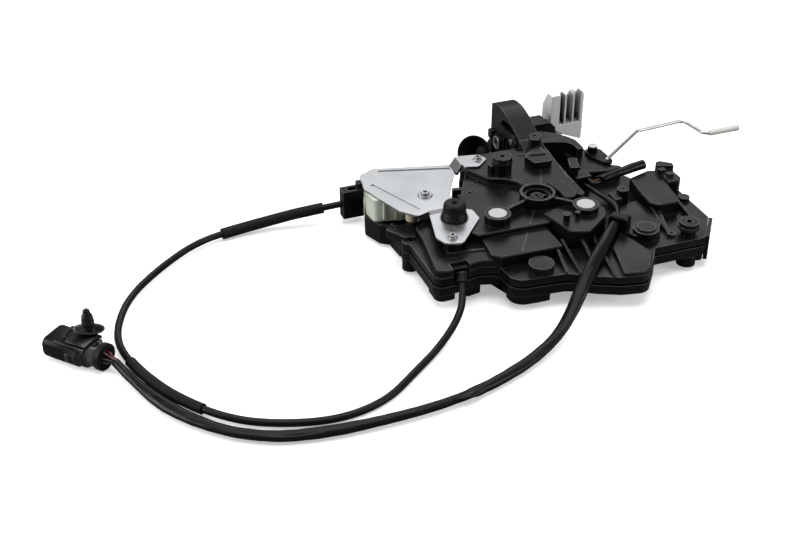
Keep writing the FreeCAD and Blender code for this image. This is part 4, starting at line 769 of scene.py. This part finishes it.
# %% Taped wires
WRAP_SECTIONS = np.array([
    # distance, half width, half height, turn of the flat side in degrees
    (0.0, 1.7, 1.7, 0.0), (9.0, 2.2, 1.8, 0.0), (22.0, 3.2, 1.8, 12.0), (34.0, 2.7, 1.9, -8.0),
    (48.0, 2.0, 2.0, 0.0), (66.0, 1.9, 1.9, 0.0),
])
line, along = arc([(51.0, 31.8, 33.6), (54.7, 8.0, 36.0), (56.9, -16.15, 36.0), (43.2, -30.3, 35.0)], 260)
wrap_reach = flattened(along, WRAP_SECTIONS, 32, fold_depth=0.08, seed=5)
wrap = skin("taped_wires", rings_round(line, wrap_reach, 32), vinyl)
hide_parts("wire_bundle")
print("taped wires length in metres:", round(float(along[-1]), 4))

# %% [markdown]
# ## Turned rubber pieces and the knurled ferrule
#
# Three pieces are bodies of revolution: the rubber buffer with its rounded head and waist, the
# membrane that closes the funnel's throat, and the knurled sleeve on the end of the rod. One
# function turns a profile about any axis, and a ripple on the radius cuts the knurl. A cut for
# each diamond would take hundreds of steps and give the same form.

# %% Turned pieces
def turned(start, way, profile, columns=48, ripple=None):
    """Rings about an axis: at each distance along it, a circle of that radius. A ripple gives
    what is added to the radius, for each station and angle."""
    way = np.asarray(way, float) / np.linalg.norm(way)
    side = np.cross(way, [0.0, 1.0, 0.0])
    side /= np.linalg.norm(side)
    other = np.cross(way, side)
    along, radius = np.array(profile, float).T
    angle = angles_round(columns)
    reach = radius[:, None] + (0.0 if ripple is None else ripple(along[:, None], angle[None, :]))
    reach = np.broadcast_to(reach, (len(along), columns))
    spoke = side[None, :] * np.cos(angle)[:, None] + other[None, :] * np.sin(angle)[:, None]
    return placed(np.asarray(start, float) + along[:, None, None] * way + reach[..., None] * spoke[None])


BUFFER_SEAT = (-62.1, 10.3, 40.0)
buffer_piece = skin("buffer_turned", turned(BUFFER_SEAT, (0.0, 0.0, 1.0), [
    (0.0, 9.0), (0.3, 9.6), (1.6, 9.6), (2.0, 9.2), (2.3, 8.9), (5.2, 8.6), (5.6, 8.1), (5.9, 8.0),
    (6.3, 8.3), (10.2, 7.9), (11.2, 7.6), (12.0, 7.0), (12.4, 6.3), (12.5, 5.6), (12.5, 2.6),
    (12.3, 2.2), (5.0, 2.0)]), matt_rubber)
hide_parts("rubber_buffer")
FUNNEL_MOUTH = (4.9, 128.5, 18.8)
FUNNEL_WAY = (0.75, 0.6, -0.28)
throat = skin("funnel_throat", turned(FUNNEL_MOUTH, FUNNEL_WAY, [(12.4, 4.6), (12.6, 5.2), (13.4, 5.0)]),
              matt_rubber)

KNURL_DEPTH = 0.16
KNURL_TEETH = 14
KNURL_LEAN = 2.6


def knurl(along, angle):
    """Low diamonds: the product of two waves that run round the sleeve in opposite senses."""
    return (KNURL_DEPTH * np.cos(KNURL_TEETH * angle + along * KNURL_LEAN)
            * np.cos(KNURL_TEETH * angle - along * KNURL_LEAN))


ROD_END = (176.0, 60.5, 40.0)
ferrule_profile = ([(0.0, 1.5), (0.1, 2.0)] + [(at, 2.3) for at in np.linspace(1.0, 26.0, 130)]
                   + [(26.8, 1.9), (27.0, 1.2)])
ferrule_piece = skin("ferrule_knurled", turned(ROD_END, (1.0, 0.0, 0.0), ferrule_profile, 56, knurl),
                     ferrule_pale, "lock_rod")
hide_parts("rod_ferrule")
print("faces of the knurled ferrule:", len(ferrule_piece.data.polygons))

# %% [markdown]
# ## Coloured wires
#
# Wires show where the short sleeve starts and at the plug. Each wire is a thin tube on its own
# line, all wires of a group are one mesh, and each point of the mesh keeps its wire's colour.
# A material for every colour would work too, but would be five copies of one network.

# %% Wires
def wires(name, lines, colours, radius, node):
    """One mesh of thin tubes, each with its own colour in the attribute tint."""
    points, faces, tints = [], [], []
    for route, colour in zip(lines, colours):
        rings = rings_round(arc(route, 40)[0], radius, 12)
        grid = grid_faces(*rings.shape[:2]) + sum(len(block) for block in points)
        points.append(rings.reshape(-1, 3))
        faces.extend(grid.tolist())
        tints.append(np.tile([*colour, 1.0], (len(points[-1]), 1)))
    piece = make_piece(name, np.concatenate(points), faces, insulation)
    tint = piece.data.attributes.new("tint", "FLOAT_COLOR", "POINT")
    tint.data.foreach_set("color", np.concatenate(tints).astype(np.float32).ravel())
    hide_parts(node)
    return piece


BLACK_WIRE = (0.006, 0.006, 0.007)
DARK_RED = (0.11, 0.004, 0.018)
OLIVE = (0.15, 0.13, 0.05)
BROWN = (0.07, 0.028, 0.014)
GREY = (0.10, 0.10, 0.10)
SHORT_WIRE = 0.75 * MM
PLUG_WIRE = 0.85 * MM
cores = wires("short_sleeve_cores",
              [[(56.2, 31.6, 34.5), (53.6, 23.6, 36.5), (58.3, 21.2, 39.2), (81.0, 28.2, 40.5)],
               [(56.4, 31.6, 36.5), (54.6, 24.6, 38.2), (59.2, 23.2, 40.8), (81.0, 30.4, 41.1)],
               [(54.6, 31.6, 37.6), (52.8, 23.0, 38.4), (58.0, 22.4, 38.6), (81.0, 29.7, 38.5)]],
              [BLACK_WIRE, BROWN, BLACK_WIRE], SHORT_WIRE, "short_sleeve_wires")
print("faces of the wires in the short sleeve:", len(cores.data.polygons))

# %% [markdown]
# ## The connector
#
# The plug is drawn in its own frame, with x away from the seal, and then turned to lie as in
# the picture. Its body is a stack of rounded rectangles: neck, shoulder, body, the lip round
# the socket and the socket's wall, which goes back inside. One skin over such a stack gives
# every step and rounding at once, where cubes with bevels would need to be joined.

# %% Connector
PLUG_AT = np.array([-317.2, -24.7, 9.5])
PLUG_TURN = np.radians(132.4)


def plugged(points):
    """Points of the plug's frame turned about the vertical and moved to the plug's place."""
    x, y, z = np.moveaxis(np.asarray(points, float), -1, 0)
    swung = np.stack([x * np.cos(PLUG_TURN) - y * np.sin(PLUG_TURN),
                      x * np.sin(PLUG_TURN) + y * np.cos(PLUG_TURN), z], axis=-1)
    return placed(swung + PLUG_AT)


def rounded_stack(stations, columns=40):
    """Rounded rectangles across x. Each station is (x, middle y, middle z, half width, half
    height, corner radius), and each quarter of a circle is moved out to its corner."""
    angle = (np.arange(columns) + 0.5) * 2 * np.pi / columns
    x, y, z, wide, high, corner = np.array(stations, float).T[:, :, None]
    across = y + np.sign(np.cos(angle)) * (wide - corner) + corner * np.cos(angle)
    up = z + np.sign(np.sin(angle)) * (high - corner) + corner * np.sin(angle)
    return np.stack([np.broadcast_to(x, across.shape), across, up], axis=-1)


def bar(name, x, y, z, corner):
    """Bar along x with rounded long edges and slightly drawn-in ends: four rounded rectangles,
    of which the first and the last are smaller."""
    (x0, x1), (y0, y1), (z0, z1) = x, y, z
    middle = ((y0 + y1) / 2, (z0 + z1) / 2)
    half = ((y1 - y0) / 2, (z1 - z0) / 2)
    inset = 0.35
    ends = [(x0, inset), (x0 + inset, 0.0), (x1 - inset, 0.0), (x1, inset)]
    stations = [(at, *middle, half[0] - less, half[1] - less, corner) for at, less in ends]
    return skin(name, plugged(rounded_stack(stations, 24)), plug_black)


plug = skin("plug_shell", plugged(rounded_stack([
    (0.4, 0.0, 0.0, 8.1, 8.1, 8.0), (8.0, 0.0, 0.0, 8.1, 8.1, 8.0), (8.4, 0.0, -0.1, 9.4, 7.0, 4.0),
    (8.8, 0.0, -0.1, 9.8, 7.1, 4.4), (12.6, 0.0, -0.1, 9.8, 7.1, 4.4), (12.9, 0.0, -0.1, 9.2, 6.6, 4.0),
    (13.6, 0.0, -0.1, 9.2, 6.6, 4.0), (13.9, 0.0, -0.1, 10.9, 7.1, 4.8), (14.4, 0.0, -0.1, 11.4, 7.5, 5.2),
    (39.6, 0.0, -0.1, 11.4, 7.5, 5.2), (40.7, 0.0, -0.1, 11.2, 7.3, 5.0), (41.6, 0.0, -0.1, 10.7, 6.8, 4.6),
    (42.0, 0.0, -0.1, 10.0, 6.1, 4.0), (41.8, 0.0, -0.1, 9.5, 5.6, 3.6), (41.0, 0.0, -0.1, 9.3, 5.4, 3.4),
    (16.0, 0.0, -0.1, 9.2, 5.3, 3.3)])), plug_black)
tongue = bar("plug_tongue", (15.8, 34.0), (-7.6, 7.6), (-3.4, 3.0), 1.0)
latch_block = bar("latch_block", (9.0, 25.0), (-7.6, 7.6), (6.2, 9.3), 1.1)
latch_rails = [bar("latch_rail_" + side, (8.5, 33.0), (y - 0.8, y + 0.8), (5.8, 8.0), 0.5)
               for side, y in (("low", -9.0), ("high", 9.0))]
side_panels = [bar("side_panel_" + side, (15.0, 23.0), (y - 0.7, y + 0.7), (-3.6, 2.8), 0.5)
               for side, y in (("low", -11.2), ("high", 11.2))]
loop_line = even_line(plugged([(22.0, -4.6, 8.6), (27.4, -4.6, 9.8), (28.3, -3.8, 10.0),
                               (28.3, 3.8, 10.0), (27.4, 4.6, 9.8), (22.0, 4.6, 8.6)]), 60)[0]
latch_loop = skin("latch_loop", rings_round(loop_line, 0.95 * MM, 16), plug_black)
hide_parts("connector_body")

# %% [markdown]
# A fir tree clip stands on the plug. Seen from above it is an oval dish with a stem under it
# and a ribbed bullet in its middle, all one stack of ovals. The ribs lean back, so that the
# clip goes into its hole easily and stays there: a saw wave on the radius has that form.

# %% Fir tree clip
CLIP_AT = (16.1, -6.8)
CLIP_SPIN = np.radians(24.7)
BARB_PITCH = 1.7
BARB_DEPTH = 0.75
BULLET_OVAL = 0.86


def oval_stack(stations):
    """Ovals across z about the clip's axis: long half width times cos, short times sin, turned
    with the dish."""
    angle = angles_round(36)
    z, long, short = np.array(stations, float).T[:, :, None]
    u, v = long * np.cos(angle), short * np.sin(angle)
    return np.stack([CLIP_AT[0] + u * np.cos(CLIP_SPIN) - v * np.sin(CLIP_SPIN),
                     CLIP_AT[1] + u * np.sin(CLIP_SPIN) + v * np.cos(CLIP_SPIN),
                     np.broadcast_to(z, u.shape)], axis=-1)


def bullet_stations(low, high):
    """Ribbed bullet: the envelope swells from 2.6 to 4.3 mm and closes to the tip, and a saw
    wave cuts the ribs, except near both ends."""
    z = np.linspace(low, high, 74)
    marks = np.array([low, low + 2.5, low + 6.5, low + 10.5, high - 1.6, high])
    envelope = between(z, marks, np.array([2.6, 3.2, 4.3, 4.0, 2.3, 0.7]))
    saw = ((z - low) / BARB_PITCH) % 1.0
    cut = np.where((z > low + 2.0) & (z < high - 2.2), BARB_DEPTH * saw, 0.0)
    return [(at, r, BULLET_OVAL * r) for at, r in zip(z, envelope - cut)]


clip_piece = skin("fir_tree", plugged(oval_stack(
    [(6.8, 3.9, 3.9), (9.6, 3.9, 3.9), (10.0, 5.0, 4.6), (11.6, 9.8, 5.7), (12.4, 10.4, 6.2),
     (12.8, 10.4, 6.2), (12.9, 10.0, 5.9), (11.9, 8.6, 5.0), (10.9, 4.4, 3.4), (10.8, 3.0, 2.8)]
    + bullet_stations(11.0, 28.3))), fitting_black)
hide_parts("fir_tree_clip")
print("faces of the fir tree clip:", len(clip_piece.data.polygons))

# %% [markdown]
# The wires leave the sleeve and spread to the seal's holes. Each starts near the sleeve's
# middle and ends on a circle in the seal, so the angle of its spoke is all that it needs.

# %% Wires at the plug
spokes = np.radians([15.0, 75.0, 140.0, 200.0, 255.0, 320.0])
plug_turns = np.stack([np.cos(spokes), np.sin(spokes)], axis=-1)


def in_drawing(points):
    """Points of the plug's frame in drawing millimetres."""
    return plugged(points) / MM + BUSH_MOUTH


plug_wires = wires("plug_wires",
                   [in_drawing([(-11.0, 1.2 * c, 1.2 * s - 1.0), (-5.0, 1.6 * c, 1.6 * s - 0.6),
                                (-2.0, 4.2 * c, 4.2 * s), (6.0, 4.4 * c, 4.4 * s)]) for c, s in plug_turns],
                   [BLACK_WIRE, BROWN, DARK_RED, BLACK_WIRE, OLIVE, GREY], PLUG_WIRE, "connector_wires")
print("wires at the plug:", len(spokes))

# %% [markdown]
# ## Floor and light
#
# The photograph was taken on white, with light from all round and a broad window of light
# overhead. The floor is a plain pale sheet: the camera sees it nearly white, while the lock
# gets less light from it, so that black plastic stays black underneath. Four large lamps give
# the plastic and the metals something to reflect, and the world fills the rest.

# %% Floor
FLOOR_HALF = 4.0
floor_paint = Paint("paper_floor", Roughness=0.9, Emission_Strength=0.36)
seen = floor_paint.node("ShaderNodeLightPath", {}, [], "Is Camera Ray")
floor_paint.set(Base_Color=floor_paint.mix(seen, (0.20, 0.20, 0.20), (0.95, 0.95, 0.95)),
                Emission_Color=floor_paint.mix(seen, (0.0, 0.0, 0.0), (1.0, 1.0, 1.0)))
floor_mesh = bpy.data.meshes.new("floor")
floor_mesh.from_pydata([(x * FLOOR_HALF, y * FLOOR_HALF, FLOOR_Z)
                        for x, y in ((-1, -1), (1, -1), (1, 1), (-1, 1))], [], [(0, 1, 2, 3)])
floor_mesh.materials.append(floor_paint.material)
floor = bpy.data.objects.new("floor", floor_mesh)
bpy.context.scene.collection.objects.link(floor)
print("floor is", 2 * FLOOR_HALF, "metres wide")

# %% [markdown]
# Softboxes are wide, so their reflections on the black plastic have soft borders. Point lamps
# of the same power would leave small hard sparks. The world is dim for everything but the
# camera, which sees it white, as the paper behind the lock is in the picture.

# %% Lights
WORLD_FILL = 0.20
WORLD_SEEN = 1.0


def lamp(name, location, target, size, power):
    """Softbox, a flat rectangle of light, that faces a point."""
    data = bpy.data.lights.new(name, "AREA")
    data.shape = "RECTANGLE"
    data.size, data.size_y = size
    data.energy = power
    made = bpy.data.objects.new(name, data)
    made.location = location
    aim = Vector(np.subtract(target, location))
    made.rotation_euler = aim.to_track_quat("-Z", "Y").to_euler()
    bpy.context.scene.collection.objects.link(made)


lamp("window_box", (0.35, 0.95, 0.85), (0.0, -0.05, 0.0), (1.3, 0.55), 5.2)
lamp("overhead_box", (-0.1, -0.1, 1.6), (-0.05, -0.1, 0.0), (1.6, 1.6), 25.0)
lamp("left_box", (-1.3, 0.1, 0.5), (-0.1, 0.0, 0.0), (0.7, 0.7), 12.0)
lamp("right_box", (0.9, -0.9, 0.5), (0.05, 0.0, 0.0), (0.6, 0.6), 6.0)
world = bpy.data.worlds.new("studio")
world.use_nodes = True
backdrop = world.node_tree.nodes["Background"]
backdrop.inputs["Color"].default_value = (1.0, 1.0, 1.0, 1.0)
light_path = world.node_tree.nodes.new("ShaderNodeLightPath")
strength = world.node_tree.nodes.new("ShaderNodeMapRange")
strength.inputs["To Min"].default_value = WORLD_FILL
strength.inputs["To Max"].default_value = WORLD_SEEN
world.node_tree.links.new(light_path.outputs["Is Camera Ray"], strength.inputs["Value"])
world.node_tree.links.new(strength.outputs[0], backdrop.inputs["Strength"])
bpy.context.scene.world = world
bpy.context.scene.view_settings.view_transform = "Standard"
print("lamps:", len(bpy.data.lights))
